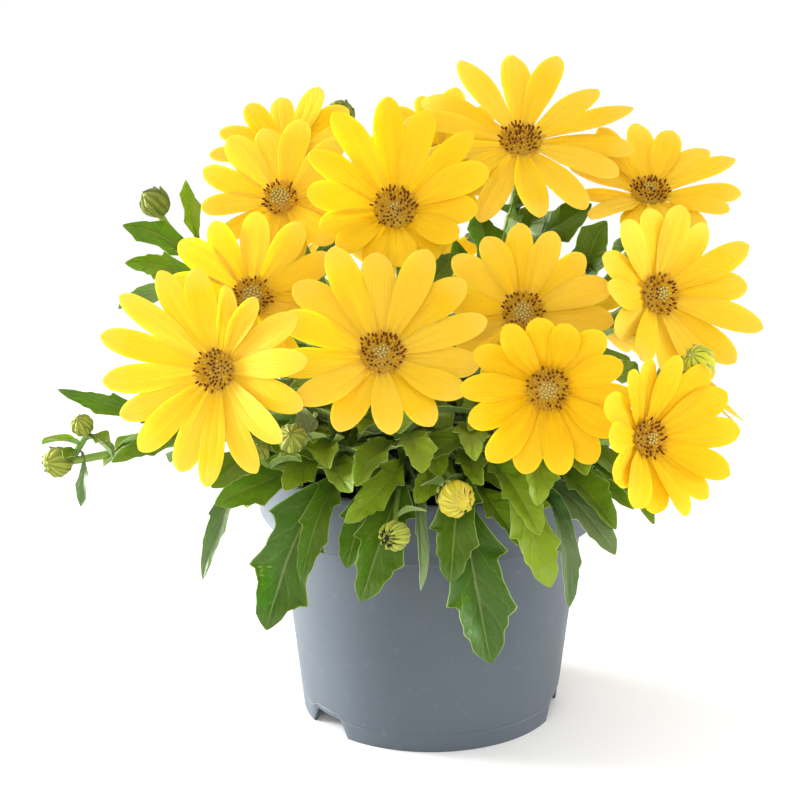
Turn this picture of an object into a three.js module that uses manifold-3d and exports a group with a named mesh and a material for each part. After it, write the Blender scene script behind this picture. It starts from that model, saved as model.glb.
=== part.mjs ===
// A yellow osteospermum in its nursery pot: leafy stems standing in compost, with daisy blooms
// of two petal layers round a domed disc. Millimetres, +Z up, the front of the plant towards -Y.
import * as THREE from "three";
import Module from "manifold-3d";

const wasm = await Module();
wasm.setup();

// ---- driving dimensions ----
const POT = {
  height: 102, rimRadius: 65.4, rimInner: 64.1, collarRadius: 62.8, collarZ: 78,
  neckRadius: 56.2, baseRadius: 47.4, wall: 1.3, floorZ: 7, floorThick: 1.4,
  notchHeight: 6.6, notchTop: 8.3, notchFoot: 13, holeRadius: 4, holeRing: 27, sides: 28,
};
const NOTCHES = [-53, 78, 193];     // degrees round from the front towards +X
const SOIL = { top: 90, mound: 2.4, gap: 0.5, sides: 28 };
const ROOT_Z = 74;                  // foot of each stem in the compost
const HOLE_CLEAR = 0.45;            // between a stem and its hole in the compost
const HUB = { rim: 0.3, layer: 0.7 };       // reaches a little past the disc; thickness of a layer
const PETAL = { thick: 1.0, arch: 8, layerLift: 2.2 };
const DISC = { gap: 0.3, dome: 2.6, sides: 10 };
const CUP_GAP = 0.35;               // between a bloom and the green cup under it
const LEAF = { thick: 1.1, rake: 0.12 };    // thickness at the midrib, forward lean of the teeth
const CLEAR = 0.4;                  // least gap kept between a leaf and its neighbours

// ---- blooms: centre, the way they face, petals, reach, width, disc radius, cup, turn, and how
// much further they reach upward and to the sides ----
const BLOOMS = [
  ["01", [-73.8, -82, 156.9], -22, 16, 16, 36, 10.2, 6.7, 18, 0, 0, 0.06],
  ["02", [-17.5, -74, 160.7], 3, 44, 14, 36, 11.6, 7.3, 18, 0, 0.04, 0],
  ["03", [-62.7, -42, 171.3], 10, 30, 12, 30, 11.0, 6.3, 16, 8, 0, 0],
  ["04", [-54.0, -7.5, 197.4], -12, 42, 12, 28.5, 10.6, 5.8, 18, 4, 0, 0],
  ["05", [-53.3, 36, 203.2], -15, 50, 12, 27, 10.0, 5.6, 14, 0, 0, 0],
  ["06", [-13.1, -30, 199.7], 0, 38, 14, 31, 11, 7.3, 18, 6, 0.2, 0],
  ["07", [32, 10, 214.7], 0, 60, 14, 41, 11.2, 7.4, 5, 5, 0, 0],
  ["08", [78.3, 5, 197.1], 8, 66, 14, 31.5, 10.2, 6.6, 16, 0, 0, 0],
  ["09", [31, -48, 167.3], 0, 31, 14, 29.5, 10.6, 6.9, 17, 3, 0, 0],
  ["10", [78.8, -45, 172.6], 33, 24, 14, 31, 10.8, 6.7, 28, 6, -0.08, 0],
  ["11", [38.1, -86, 151.2], 0, 13, 14, 26, 10.6, 7, 26, 9, -0.06, 0.12],
  ["12", [71.8, -100, 139], 40, 20, 14, 26, 10.6, 6.1, 28, 2, 0, 0.2],
  ["13", [4.6, 46, 198.5], 5, 45, 12, 27, 10.6, 5.6, 14, 0, 0, 0],
  ["14", [-62, 66, 148], -138, 38, 12, 31, 11.4, 6.6, 15, 0, 0, 0],
  ["15", [-2, 88, 140], 178, 36, 12, 32, 11.4, 6.6, 16, 5, 0, 0],
  ["16", [60, 66, 132], 140, 42, 12, 31, 11.4, 6.6, 14, 9, 0, 0],
  ["17", [94, 24, 124], 98, 34, 12, 28, 11.4, 6, 16, 2, 0, 0],
  ["18", [-88, 22, 122], -108, 38, 12, 27, 11.4, 6, 16, 4, 0, 0],
].map(([name, at, az, el, n, R, W, D, cup, turn, up, wide]) => ({
  name, at, az, el, n, R, W, D, cup, turn, up, wide,
}));

// ---- small geometry kit ----
const rad = (a) => (a * Math.PI) / 180;
const vec = (p) => new THREE.Vector3(p[0], p[1], p[2]);
const mix = (a, b, t) => a + (b - a) * t;

function draws(seed) {
  let state = (seed * 7919 + 13) % 4294967296;
  return () => {
    state = (state * 1664525 + 1013904223) % 4294967296;
    return state / 4294967296;
  };
}

function solidOf(points, faces) {
  const mesh = new wasm.Mesh({
    numProp: 3,
    vertProperties: new Float32Array(points.flatMap((p) => [p.x, p.y, p.z])),
    triVerts: new Uint32Array(faces.flat()),
  });
  mesh.merge();
  return new wasm.Manifold(mesh);
}

function solidFromGeometry(geometry) {
  const at = geometry.attributes.position;
  const found = new Map();
  const points = [];
  const seat = [];
  for (let i = 0; i < at.count; i++) {
    const key = [at.getX(i), at.getY(i), at.getZ(i)].map((c) => Math.round(c * 1e4)).join();
    if (!found.has(key)) {
      found.set(key, points.length);
      points.push(new THREE.Vector3(at.getX(i), at.getY(i), at.getZ(i)));
    }
    seat.push(found.get(key));
  }
  const index = geometry.index ? Array.from(geometry.index.array) : seat.map((_, i) => i);
  const faces = [];
  for (let i = 0; i < index.length; i += 3) {
    const [a, b, c] = [seat[index[i]], seat[index[i + 1]], seat[index[i + 2]]];
    if (a !== b && b !== c && a !== c) faces.push([a, b, c]);
  }
  return solidOf(points, faces);
}

function geometryOf(solid) {
  const mesh = solid.getMesh();
  const geometry = new THREE.BufferGeometry();
  const at = new Float32Array(mesh.numVert * 3);
  for (let i = 0; i < mesh.numVert; i++) {
    for (let k = 0; k < 3; k++) at[i * 3 + k] = mesh.vertProperties[i * mesh.numProp + k];
  }
  geometry.setAttribute("position", new THREE.BufferAttribute(at, 3));
  geometry.setIndex(Array.from(mesh.triVerts));
  geometry.computeVertexNormals();
  return geometry;
}

// The right, up and outward directions of a bloom facing az round from the front and el above level.
function facing(az, el) {
  const [a, e] = [rad(az), rad(el)];
  const out = new THREE.Vector3(Math.sin(a) * Math.cos(e), -Math.cos(a) * Math.cos(e), Math.sin(e));
  const right = new THREE.Vector3(Math.cos(a), Math.sin(a), 0);
  return { right, up: new THREE.Vector3().crossVectors(out, right), out };
}

// A closed tube through rings of points, each ring in the same order seen along the way.
function ringsToSolid(rings, startPoint, endPoint) {
  const points = rings.flat();
  const faces = [];
  const n = rings[0].length;
  for (let k = 0; k + 1 < rings.length; k++) {
    for (let i = 0; i < n; i++) {
      const [a, b] = [k * n + i, k * n + ((i + 1) % n)];
      faces.push([a, b, b + n], [a, b + n, a + n]);
    }
  }
  const last = (rings.length - 1) * n;
  if (startPoint) {
    points.push(startPoint);
    for (let i = 0; i < n; i++) faces.push([points.length - 1, (i + 1) % n, i]);
  } else {
    for (let i = 1; i + 1 < n; i++) faces.push([0, i + 1, i]);
  }
  if (endPoint) {
    points.push(endPoint);
    for (let i = 0; i < n; i++) faces.push([points.length - 1, last + i, last + ((i + 1) % n)]);
  } else {
    for (let i = 1; i + 1 < n; i++) faces.push([last, last + i, last + i + 1]);
  }
  return solidOf(points, faces);
}

// ---- the petals of a bloom: two layers rooted round one thin hub ----
// Places along a petal, with the share of its full width there. Its back has a low keel.
const PETAL_STEPS = [[0.36, 0.84], [0.72, 1.0], [1.0, 0.36]];

function petalPath(b, i, draw) {
  const upper = i % 2 === 0;
  const theta = rad(b.turn + ((i + 0.5) * 360) / b.n);
  const reach = b.R * (1 + b.up * Math.sin(theta) + b.wide * Math.cos(theta) ** 2)
    * (1 + 0.14 * (draw() - 0.5));
  const lean = rad(6 * (draw() - 0.5));
  const lift = b.cup + (upper ? PETAL.layerLift : -PETAL.layerLift) + 1.2 * (draw() - 0.5);
  const length = (reach - b.D - HUB.rim) / Math.cos(rad(lift));
  const bend = rad(-2 * PETAL.arch);
  const start = rad(lift + PETAL.arch);
  const base = (b.D + HUB.rim) * Math.cos(Math.PI / b.n);
  const level = (upper ? -0.5 : -1.5) * HUB.layer;
  const { right, up, out } = facing(b.az, b.el);
  const ray = right.clone().multiplyScalar(Math.cos(theta)).addScaledVector(up, Math.sin(theta));
  const turned = theta + lean;
  const along = right.clone().multiplyScalar(Math.cos(turned)).addScaledVector(up, Math.sin(turned));
  const side = right.clone().multiplyScalar(-Math.sin(turned)).addScaledVector(up, Math.cos(turned));
  const hub = vec(b.at).addScaledVector(out, -1.5);
  const place = (s) => {
    const r = (length * (Math.sin(start + bend * s) - Math.sin(start))) / bend;
    const h = (-length * (Math.cos(start + bend * s) - Math.cos(start))) / bend;
    const slope = start + bend * s;
    const middle = hub.clone().addScaledVector(ray, base).addScaledVector(along, r);
    middle.addScaledVector(out, level + h);
    const face = out.clone().multiplyScalar(Math.cos(slope)).addScaledVector(along, -Math.sin(slope));
    return { middle, side, face };
  };
  return { place, upper };
}

function bloomPetals(b) {
  const draw = draws(Number(b.name));
  const { right, up, out } = facing(b.az, b.el);
  const hub = vec(b.at).addScaledVector(out, -1.5);
  const points = [];
  const faces = [];
  for (let level = 0; level < 3; level++) {
    for (let i = 0; i < b.n; i++) {
      const theta = rad(b.turn + (i * 360) / b.n);
      const r = b.D + HUB.rim;
      points.push(hub.clone().addScaledVector(right, r * Math.cos(theta))
        .addScaledVector(up, r * Math.sin(theta)).addScaledVector(out, -level * HUB.layer));
    }
  }
  const quad = (a, c, d, e) => faces.push([a, c, d], [a, d, e]);
  for (let i = 1; i + 1 < b.n; i++) {
    faces.push([0, i, i + 1]);
    faces.push([2 * b.n, 2 * b.n + i + 1, 2 * b.n + i]);
  }
  for (let i = 0; i < b.n; i++) {
    const j = (i + 1) % b.n;
    const { place, upper } = petalPath(b, i, draw);
    const band = upper ? 0 : 1;
    const other = 1 - band;
    quad(other * b.n + i, (other + 1) * b.n + i, (other + 1) * b.n + j, other * b.n + j);
    // corners in order: first side top, second side top, second side bottom, first side bottom
    let ring = [band * b.n + i, band * b.n + j, (band + 1) * b.n + j, (band + 1) * b.n + i];
    for (const [s, w] of PETAL_STEPS) {
      const { middle, side, face } = place(s);
      const half = (b.W * w) / 2;
      const next = [];
      for (const [q, f] of [[-1, 0.3], [1, 0.3], [0, -0.7]]) {
        next.push(points.length);
        points.push(middle.clone().addScaledVector(side, q * half)
          .addScaledVector(face, f * PETAL.thick));
      }
      const [a, c, keel] = next;
      faces.push([ring[0], a, c], [ring[0], c, ring[1]]);
      if (ring.length === 4) {
        faces.push([ring[1], c, ring[2]], [ring[2], c, keel], [ring[2], keel, ring[3]]);
        faces.push([ring[3], keel, a], [ring[3], a, ring[0]]);
      } else {
        faces.push([ring[1], c, keel], [ring[1], keel, ring[2]]);
        faces.push([ring[2], keel, a], [ring[2], a, ring[0]]);
      }
      ring = next;
    }
    faces.push([ring[0], ring[2], ring[1]]);
  }
  return solidOf(points, faces);
}

// ---- the disc: a low dome of florets over the hub, bumped ring by ring ----
function bloomDisc(b) {
  const { right, up, out } = facing(b.az, b.el);
  const foot = vec(b.at).addScaledVector(out, -1.5 + DISC.gap);
  const ring = (r, heights, turn) => heights.map((h, i) => {
    const theta = rad(turn + (i * 360) / heights.length);
    return foot.clone().addScaledVector(right, r * Math.cos(theta))
      .addScaledVector(up, r * Math.sin(theta)).addScaledVector(out, h);
  });
  const even = (h) => Array(DISC.sides).fill(h);
  const bumps = (low, high) => even(0).map((_, i) => (i % 2 ? low : high));
  const rings = [
    ring(b.D - 0.3, even(0), 0),
    ring(b.D - 0.4, bumps(1.2, 2.0), 0),
    ring(b.D - 3.0, bumps(2.6, 1.8), 0),
  ];
  return ringsToSolid(rings, null, foot.clone().addScaledVector(out, DISC.dome - 0.3));
}


// ---- stems: where each stands in the compost, what it carries at its end, how it arrives ----
const STEMS = [
  { name: "stem_01", foot: [-25, -32], bloom: "01", rise: 0.34, arrive: 0.03 },
  { name: "stem_02", foot: [-9, -34], bloom: "02", rise: 0.4, arrive: 0.2 },
  { name: "stem_03", foot: [-31, -18], bloom: "03", rise: 0.4, arrive: 0.2 },
  { name: "stem_04", foot: [-20, -7], bloom: "04", rise: 0.4, arrive: 0.2 },
  { name: "stem_05", foot: [-19, 10], bloom: "05", rise: 0.4, arrive: 0.2 },
  { name: "stem_06", foot: [-6, -19], bloom: "06", rise: 0.4, arrive: 0.2 },
  { name: "stem_07", foot: [11, 0], bloom: "07", rise: 0.4, arrive: 0.25 },
  { name: "stem_08", foot: [28, 2], bloom: "08", rise: 0.4, arrive: 0.25 },
  { name: "stem_09", foot: [9, -22], bloom: "09", rise: 0.4, arrive: 0.2 },
  { name: "stem_10", foot: [33, -15], bloom: "10", rise: 0.4, arrive: 0.2 },
  { name: "stem_11", foot: [12, -40], bloom: "11", rise: 0.4, arrive: 0.14 },
  { name: "stem_12", foot: [30, -34], bloom: "12", rise: 0.36, arrive: 0.14 },
  { name: "stem_13", foot: [-3, 18], bloom: "13", rise: 0.4, arrive: 0.25 },
  { name: "stem_14", foot: [-26, 29], bloom: "14", rise: 0.4, arrive: 0.2 },
  { name: "stem_15", foot: [-2, 38], bloom: "15", rise: 0.4, arrive: 0.2 },
  { name: "stem_16", foot: [23, 28], bloom: "16", rise: 0.4, arrive: 0.2 },
  { name: "stem_17", foot: [42, 8], bloom: "17", rise: 0.4, arrive: 0.2 },
  { name: "stem_18", foot: [-35, 18], bloom: "18", rise: 0.4, arrive: 0.2 },
  { name: "stem_19", foot: [-43, -10], rise: 0.3, arrive: 0.12,
    bud: { at: [-131.5, -50, 112.8], r: 5.0, az: -60, el: 6 } },
  { name: "stem_20", foot: [-41, 4], rise: 0.36, arrive: 0.2,
    bud: { at: [-99.3, 0, 193.6], r: 5.0, az: -40, el: 62 } },
];

// Side buds: the stem, the height at which the stalk leaves it, the bud, its radius and direction.
const BUDS = [
  { stem: "stem_19", z: 114, at: [-122.9, -45, 124.8], r: 3.6, az: -30, el: 50 },
  { stem: "stem_01", z: 106, at: [-48.3, -72, 129.3], r: 4.8, az: -5, el: 35 },
  { stem: "stem_01", z: 100, at: [-59.8, -66, 122.1], r: 3.0, az: -20, el: 60 },
  { stem: "stem_11", z: 98, at: [6.3, -84, 112.6], r: 5.4, az: 16, el: 12, yellow: true },
  { stem: "stem_02", z: 101, at: [-13.1, -86, 99], r: 4.7, az: 0, el: -12 },
  { stem: "stem_12", z: 110, at: [88.6, -82, 160], r: 5.3, az: 10, el: 78 },
  { stem: "stem_13", z: 150, at: [-34, 62, 211.5], r: 5.2, az: -10, el: 66 },
];

// Leaves with a place of their own: stem, height of the root on it, bend, tip, width, and the way
// that the face looks at the tip, in degrees round from the front; then its outline, if it has its own.
const LEAVES = [
  ["stem_01", 99, [-43, -68, 120], [-58, -77, 60], 25, -6, "lobed"],
  ["stem_11", 100, [4, -70, 117], [19, -77, 50], 25, 8],
  ["stem_12", 97, [44, -68, 111], [44, -78, 71], 10, 25],
  ["stem_01", 103, [-38, -76, 118], [-45, -88, 83], 12, 0],
  ["stem_02", 100, [-23, -70, 116], [-30, -79, 84], 15, -14],
  ["stem_02", 104, [-10, -74, 116], [-24, -88, 76], 20, 4],
  ["stem_11", 106, [8, -76, 122], [6, -87, 82], 18, 0],
  ["stem_12", 104, [26, -76, 118], [40, -91, 82], 19, 20],
  ["stem_12", 100, [44, -66, 114], [61, -84, 92], 14, 30],
  ["stem_03", 104, [-52, -58, 116], [-76, -78, 107], 17, -16],
  ["stem_19", 108, [-62, -52, 122], [-75, -84, 116], 15, -10],
  ["stem_19", 102, [-70, -52, 122], [-80, -74, 78], 9, -30],
  ["stem_01", 110, [-38, -66, 122], [-28, -88, 116], 15, 10],
  ["stem_02", 110, [-3, -80, 116], [-4, -89, 80], 7, 50],
  ["stem_02", 112, [-8, -66, 118], [-30, -84, 103], 13, -12],
  ["stem_11", 103, [18, -66, 110], [30, -82, 94], 14, 10],
  ["stem_11", 112, [24, -70, 124], [36, -92, 102], 15, 16],
  ["stem_09", 112, [12, -62, 120], [16, -86, 118], 12, 0],
  ["stem_11", 116, [22, -66, 128], [34, -82, 123], 11, 20],
  ["stem_10", 102, [44, -54, 114], [60, -78, 100], 14, 20],
  ["stem_10", 106, [52, -48, 118], [74, -68, 98], 14, 40],
  ["stem_10", 110, [50, -44, 120], [69, -64, 110], 13, 30],
  ["stem_03", 108, [-44, -54, 122], [-52, -78, 112], 14, -6],
  ["stem_09", 106, [2, -56, 116], [-6, -78, 108], 13, 0],
  ["stem_19", 112, [-106, -40, 128], [-130, -52, 140], 9, -20],
  ["stem_19", 114, [-120, -44, 124], [-124, -50, 96], 6, -30],
  ["stem_19", 109, [-88, -40, 126], [-111, -62, 117], 10, -20],
  ["stem_20", 160, [-92, -2, 184], [-110, -8, 187], 12, -10],
  ["stem_20", 152, [-92, -10, 176], [-108, -22, 177], 11, -10],
  ["stem_20", 144, [-94, -4, 172], [-112, -14, 158], 9, -10],
  ["stem_20", 168, [-86, 4, 188], [-88, 2, 201], 8, 0],
  ["stem_07", 168, [34, -8, 182], [38, -14, 197], 15, 0],
  ["stem_08", 158, [50, -10, 172], [62, -10, 189], 17, -5],
  ["stem_08", 168, [66, -8, 174], [71, -16, 188], 15, 10],
  ["stem_07", 158, [22, -6, 178], [15, -8, 194], 14, 0],
  ["stem_07", 150, [14, -14, 168], [8, -18, 184], 14, 0],
  ["stem_06", 158, [-2, -26, 168], [8, -26, 182], 13, 5],
  ["stem_04", 158, [-34, -18, 168], [-33, -34, 178], 15, 0],
  ["stem_03", 136, [-50, -42, 142], [-51, -54, 153], 16, 0],
  ["stem_03", 126, [-38, -44, 138], [-50, -58, 142], 14, 0],
  ["stem_06", 105, [-2, -42, 122], [2, -62, 114], 16, 0],
  ["stem_06", 117, [0, -36, 132], [6, -54, 126], 15, 0],
  ["stem_10", 98, [54, -44, 112], [70, -62, 100], 12, 30],
  ["stem_04", 104, [-30, -26, 122], [-38, -44, 118], 16, -8],
  ["stem_07", 108, [16, -16, 124], [20, -36, 118], 16, 5],
  ["stem_12", 113, [34, -62, 122], [33, -80, 110], 15, 8],
  ["stem_01", 114, [-40, -58, 128], [-36, -76, 120], 14, -5],
  ["stem_07", 172, [42, 0, 182], [57, -2, 193], 16, 0],
  ["stem_07", 178, [30, -8, 188], [26, -16, 200], 15, 0],
  ["stem_02", 116, [-20, -74, 130], [-26, -92, 120], 14, -10],
  ["stem_02", 120, [-6, -72, 134], [-4, -92, 124], 14, 5],
  ["stem_09", 118, [12, -68, 136], [14, -88, 127], 13, 0],
];

// Leaf outlines: share of the length, then left and right half width as a share of the full one.
const OUTLINES = {
  lobed: [[0, 0.07, 0.07], [0.28, 0.14, 0.16], [0.46, 0.5, 1], [0.54, 0.98, 0.64], [0.6, 0.68, 0.66],
    [0.69, 0.74, 0.94], [0.78, 1, 0.58], [0.85, 0.62, 0.48], [0.93, 0.36, 0.38], [1, 0, 0]],
  large: [[0, 0.07, 0.07], [0.28, 0.14, 0.14], [0.42, 0.44, 0.84], [0.49, 1, 0.58], [0.56, 0.64, 0.66],
    [0.66, 0.76, 0.98], [0.72, 1, 0.66], [0.82, 0.66, 0.62], [0.93, 0.46, 0.44], [1, 0, 0]],
  middle: [[0, 0.08, 0.08], [0.32, 0.22, 0.2], [0.51, 0.94, 0.56], [0.65, 0.64, 1], [0.83, 0.78, 0.54],
    [1, 0, 0]],
  small: [[0, 0.1, 0.1], [0.32, 0.4, 0.36], [0.62, 1, 0.9], [1, 0, 0]],
};
const LEAF_RULE = {
  spacing: 7.8, stopBelow: 22, golden: 137.5, low: 48, high: 27, share: 0.46, droop: 52, roll: 50,
  lift: [8, 40], azimuths: [0, 26, -26, 52, -52, 80, -80, 120, -120, 180], lifts: [0, 18, -18, 36],
  sizes: [1, 0.78],
};

// ---- stem curves ----
const STEM = { sides: 4, low: 2.1, high: 1.35, steps: 5, straightTo: 94, cupLength: 9 };
const CUP = [[0, 0.94], [4, 0.78], [9, 0.2]];     // depth, radius as a share of the disc's

function bezier(p, t) {
  const u = 1 - t;
  const w = p.length === 4 ? [u * u * u, 3 * u * u * t, 3 * u * t * t, t * t * t] : [u * u, 2 * u * t, t * t];
  const at = new THREE.Vector3();
  p.forEach((q, i) => at.addScaledVector(q, w[i]));
  return at;
}

function stemCurve(stem) {
  const target = stem.bloom ? BLOOMS.find((b) => b.name === stem.bloom) : stem.bud;
  const { out } = facing(target.az, target.el);
  const below = stem.bloom ? 1.5 + 2 * HUB.layer + CUP_GAP + STEM.cupLength : stem.bud.r;
  const end = vec(target.at).addScaledVector(out, -below);
  const from = new THREE.Vector3(stem.foot[0], stem.foot[1], STEM.straightTo);
  const span = end.distanceTo(from);
  const p = [from, from.clone().setZ(from.z + stem.rise * span),
    end.clone().addScaledVector(out, -stem.arrive * span), end];
  return { p, out, end, span, target };
}

// A point on the stem's own rod, which runs straight from step to step.
function onStem(p, t) {
  const k = Math.min(Math.floor(t * STEM.steps), STEM.steps - 1);
  const low = bezier(p, k / STEM.steps);
  return low.lerp(bezier(p, (k + 1) / STEM.steps), t * STEM.steps - k);
}

function rootOn(p, z) {
  let t = 0;
  while (t < 0.995 && onStem(p, t).z < z) t += 0.005;
  return onStem(p, t);
}

// A round rod through points with a radius at each, its ends flat.
function rod(points, radii, sides, ribs = 1) {
  let side = new THREE.Vector3(1, 0, 0);
  const rings = points.map((at, k) => {
    const ahead = points[Math.min(k + 1, points.length - 1)].clone()
      .sub(points[Math.max(k - 1, 0)]).normalize();
    side = side.clone().addScaledVector(ahead, -side.dot(ahead)).normalize();
    const other = new THREE.Vector3().crossVectors(ahead, side);
    return Array.from({ length: sides }, (_, i) => {
      const a = (2 * Math.PI * i) / sides;
      const r = radii[k] * (i % 2 ? ribs : 1);
      return at.clone().addScaledVector(side, r * Math.cos(a)).addScaledVector(other, r * Math.sin(a));
    });
  });
  return ringsToSolid(rings, null, null);
}

function stemRod(stem) {
  const { p, out, end, target } = stemCurve(stem);
  const points = [new THREE.Vector3(stem.foot[0], stem.foot[1], ROOT_Z)];
  const radii = [STEM.low];
  for (let k = 0; k <= STEM.steps; k++) {
    points.push(bezier(p, k / STEM.steps));
    radii.push(mix(STEM.low, STEM.high, k / STEM.steps));
  }
  if (!stem.bloom) return rod(points, radii, STEM.sides).add(budRod(stem.bud));
  const shaft = rod(points, radii, STEM.sides);
  const cup = CUP.slice().reverse();
  return shaft.add(rod(cup.map(([d]) => end.clone().addScaledVector(out, STEM.cupLength - d)),
    cup.map(([, r]) => r * target.D), 5));
}

const BUD_SHAPE = [[-1.15, 0.3], [-0.8, 0.72], [-0.1, 1], [0.55, 0.8], [1.0, 0.3]];
const YELLOW_SHAPE = [[-0.04, 0.85], [0.55, 1.12], [1.1, 0.9], [1.55, 0.3]];

function budRod(bud) {
  const { out } = facing(bud.az, bud.el);
  const shape = bud.yellow ? BUD_SHAPE.slice(0, 3) : BUD_SHAPE;
  return rod(shape.map(([d]) => vec(bud.at).addScaledVector(out, d * bud.r)),
    shape.map(([, r]) => r * bud.r), 6, bud.yellow ? 1 : 0.9);
}

function budStalk(bud, stem) {
  const from = rootOn(stemCurve(stem).p, bud.z);
  const { out } = facing(bud.az, bud.el);
  const end = vec(bud.at).addScaledVector(out, -bud.r);
  const span = end.distanceTo(from);
  const outward = new THREE.Vector3(end.x - from.x, end.y - from.y, 0).multiplyScalar(0.35);
  const middle = from.clone().add(outward);
  middle.z += 0.3 * span;
  const p = [from, middle, end.clone().addScaledVector(out, -0.25 * span), end];
  const steps = [0, 0.33, 0.67, 1];
  return rod(steps.map((t) => bezier(p, t)), steps.map((t) => mix(1.3, 1, t)), 4);
}

// ---- leaves ----
// A leaf's frame at the share s of its bent line. Its face looks up, or turns from up to a side.
function leafFrame([root, bend, tip, , look, roll], s) {
  const ahead = bend.clone().sub(root).multiplyScalar(1 - s)
    .addScaledVector(tip.clone().sub(bend), s).normalize();
  const want = new THREE.Vector3(0, 0, 1);
  if (look !== null) want.multiplyScalar(1 - s).addScaledVector(facing(look, 0).out, s);
  const side = want.cross(ahead).normalize().applyAxisAngle(ahead, rad(roll));
  const face = new THREE.Vector3().crossVectors(ahead, side);
  return { at: bezier([root, bend, tip], s), ahead, side, face };
}

function outlineOf([root, bend, tip, , , , own]) {
  const length = root.distanceTo(bend) + bend.distanceTo(tip);
  return OUTLINES[own ?? (length > 50 ? "large" : length > 31 ? "middle" : "small")];
}

// The parameter of a leaf's bent line at a share of its length.
function lineShare([root, bend, tip], share) {
  const marks = [0];
  for (let k = 1; k <= 16; k++) {
    const step = bezier([root, bend, tip], k / 16).distanceTo(bezier([root, bend, tip], (k - 1) / 16));
    marks.push(marks[k - 1] + step);
  }
  let k = 1;
  while (k < 16 && marks[k] < share * marks[16]) k++;
  return (k - 1 + (share * marks[16] - marks[k - 1]) / (marks[k] - marks[k - 1])) / 16;
}

// Where the leaf's rim runs: its teeth lean forward.
function rimPoint(leaf, place, share, sign) {
  const lean = Math.min(1, place + LEAF.rake * Math.max(0, share - 0.5));
  const { at, side, face } = leafFrame(leaf, lineShare(leaf, lean));
  return { at: at.addScaledVector(side, (sign * share * leaf[3]) / 2), side, face };
}

// The leaf as a blade with a keel under its middle.
function leafSolid(leaf) {
  const rows = outlineOf(leaf);
  const rings = rows.slice(0, -1).map(([s, left, right]) => {
    const [l, r] = [rimPoint(leaf, s, left, 1), rimPoint(leaf, s, right, -1)];
    const { at, face } = leafFrame(leaf, lineShare(leaf, s));
    return [l.at.addScaledVector(l.face, 0.3 * LEAF.thick), r.at.addScaledVector(r.face, 0.3 * LEAF.thick),
      at.addScaledVector(face, -0.7 * LEAF.thick)];
  });
  return ringsToSolid(rings, null, leaf[2].clone());
}

// The room that the leaf needs, wider than it is all round.
function leafRoom(leaf) {
  const half = 0.6 * LEAF.thick + CLEAR;
  const rings = outlineOf(leaf).map(([s, left, right], k, rows) => {
    const [l, r] = [rimPoint(leaf, s, left, 1), rimPoint(leaf, s, right, -1)];
    const { ahead } = leafFrame(leaf, lineShare(leaf, s));
    const last = k === rows.length - 1;
    const corner = (edge, q, h) => edge.at.clone().addScaledVector(edge.side, q * CLEAR)
      .addScaledVector(edge.face, h).addScaledVector(ahead, last ? CLEAR : 0);
    return [corner(l, 1, half), corner(r, -1, half), corner(r, -1, -half), corner(l, 1, -half)];
  });
  return ringsToSolid(rings, null, null);
}

function boxesMeet(a, b) {
  return [0, 1, 2].every((k) => a.min[k] < b.max[k] && b.min[k] < a.max[k]);
}

// ---- pot and compost ----
function lathe(profile, sides) {
  const geometry = new THREE.LatheGeometry(profile.map(([r, z]) => new THREE.Vector2(r, z)), sides);
  geometry.rotateX(Math.PI / 2);
  return solidFromGeometry(geometry);
}

function prism(corners, low, high) {
  const ring = (z) => corners.map(([x, y]) => new THREE.Vector3(x, y, z));
  return ringsToSolid([ring(low), ring(high)], null, null);
}

function circle(x, y, r, sides) {
  return Array.from({ length: sides }, (_, i) => {
    const a = (2 * Math.PI * i) / sides;
    return [x + r * Math.cos(a), y + r * Math.sin(a)];
  });
}

function potInner(z) {
  const low = POT.baseRadius - POT.wall;
  return mix(low, POT.neckRadius - POT.wall, z / POT.collarZ);
}

function makePot() {
  const inLow = POT.collarZ + POT.wall;
  let pot = lathe([
    [0, POT.floorZ], [potInner(0) - 0.2, POT.floorZ], [potInner(0), 0], [POT.baseRadius, 0],
    [POT.neckRadius, POT.collarZ], [POT.collarRadius - 0.9, POT.collarZ],
    [POT.collarRadius, POT.collarZ + 1.6], [POT.rimRadius, POT.height - 0.8],
    [POT.rimRadius - 0.3, POT.height], [POT.rimInner, POT.height],
    [POT.collarRadius - POT.wall, inLow], [POT.neckRadius - POT.wall, inLow],
    [potInner(POT.floorZ) - 0.3, POT.floorZ + POT.floorThick], [0, POT.floorZ + POT.floorThick],
  ], POT.sides);
  const round = (angle, r) => [r * Math.sin(rad(angle)), -r * Math.cos(rad(angle))];
  for (const middle of NOTCHES) {
    const corners = [[-1, 36], [-1, 56], [1, 56], [1, 36]];
    const ring = (half, z) => corners.map(([q, r]) => new THREE.Vector3(...round(middle + q * half, r), z));
    const slope = (POT.notchFoot - POT.notchTop) / POT.notchHeight;
    const rings = [ring(POT.notchFoot + slope, -1), ring(POT.notchTop, POT.notchHeight)];
    pot = pot.subtract(ringsToSolid(rings, null, null));
  }
  for (let k = 0; k < 5; k++) {
    const [x, y] = round(36 + 72 * k, POT.holeRing);
    pot = pot.subtract(prism(circle(x, y, POT.holeRadius, 8), POT.floorZ - 2, POT.floorZ + 4));
  }
  return pot;
}

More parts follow.
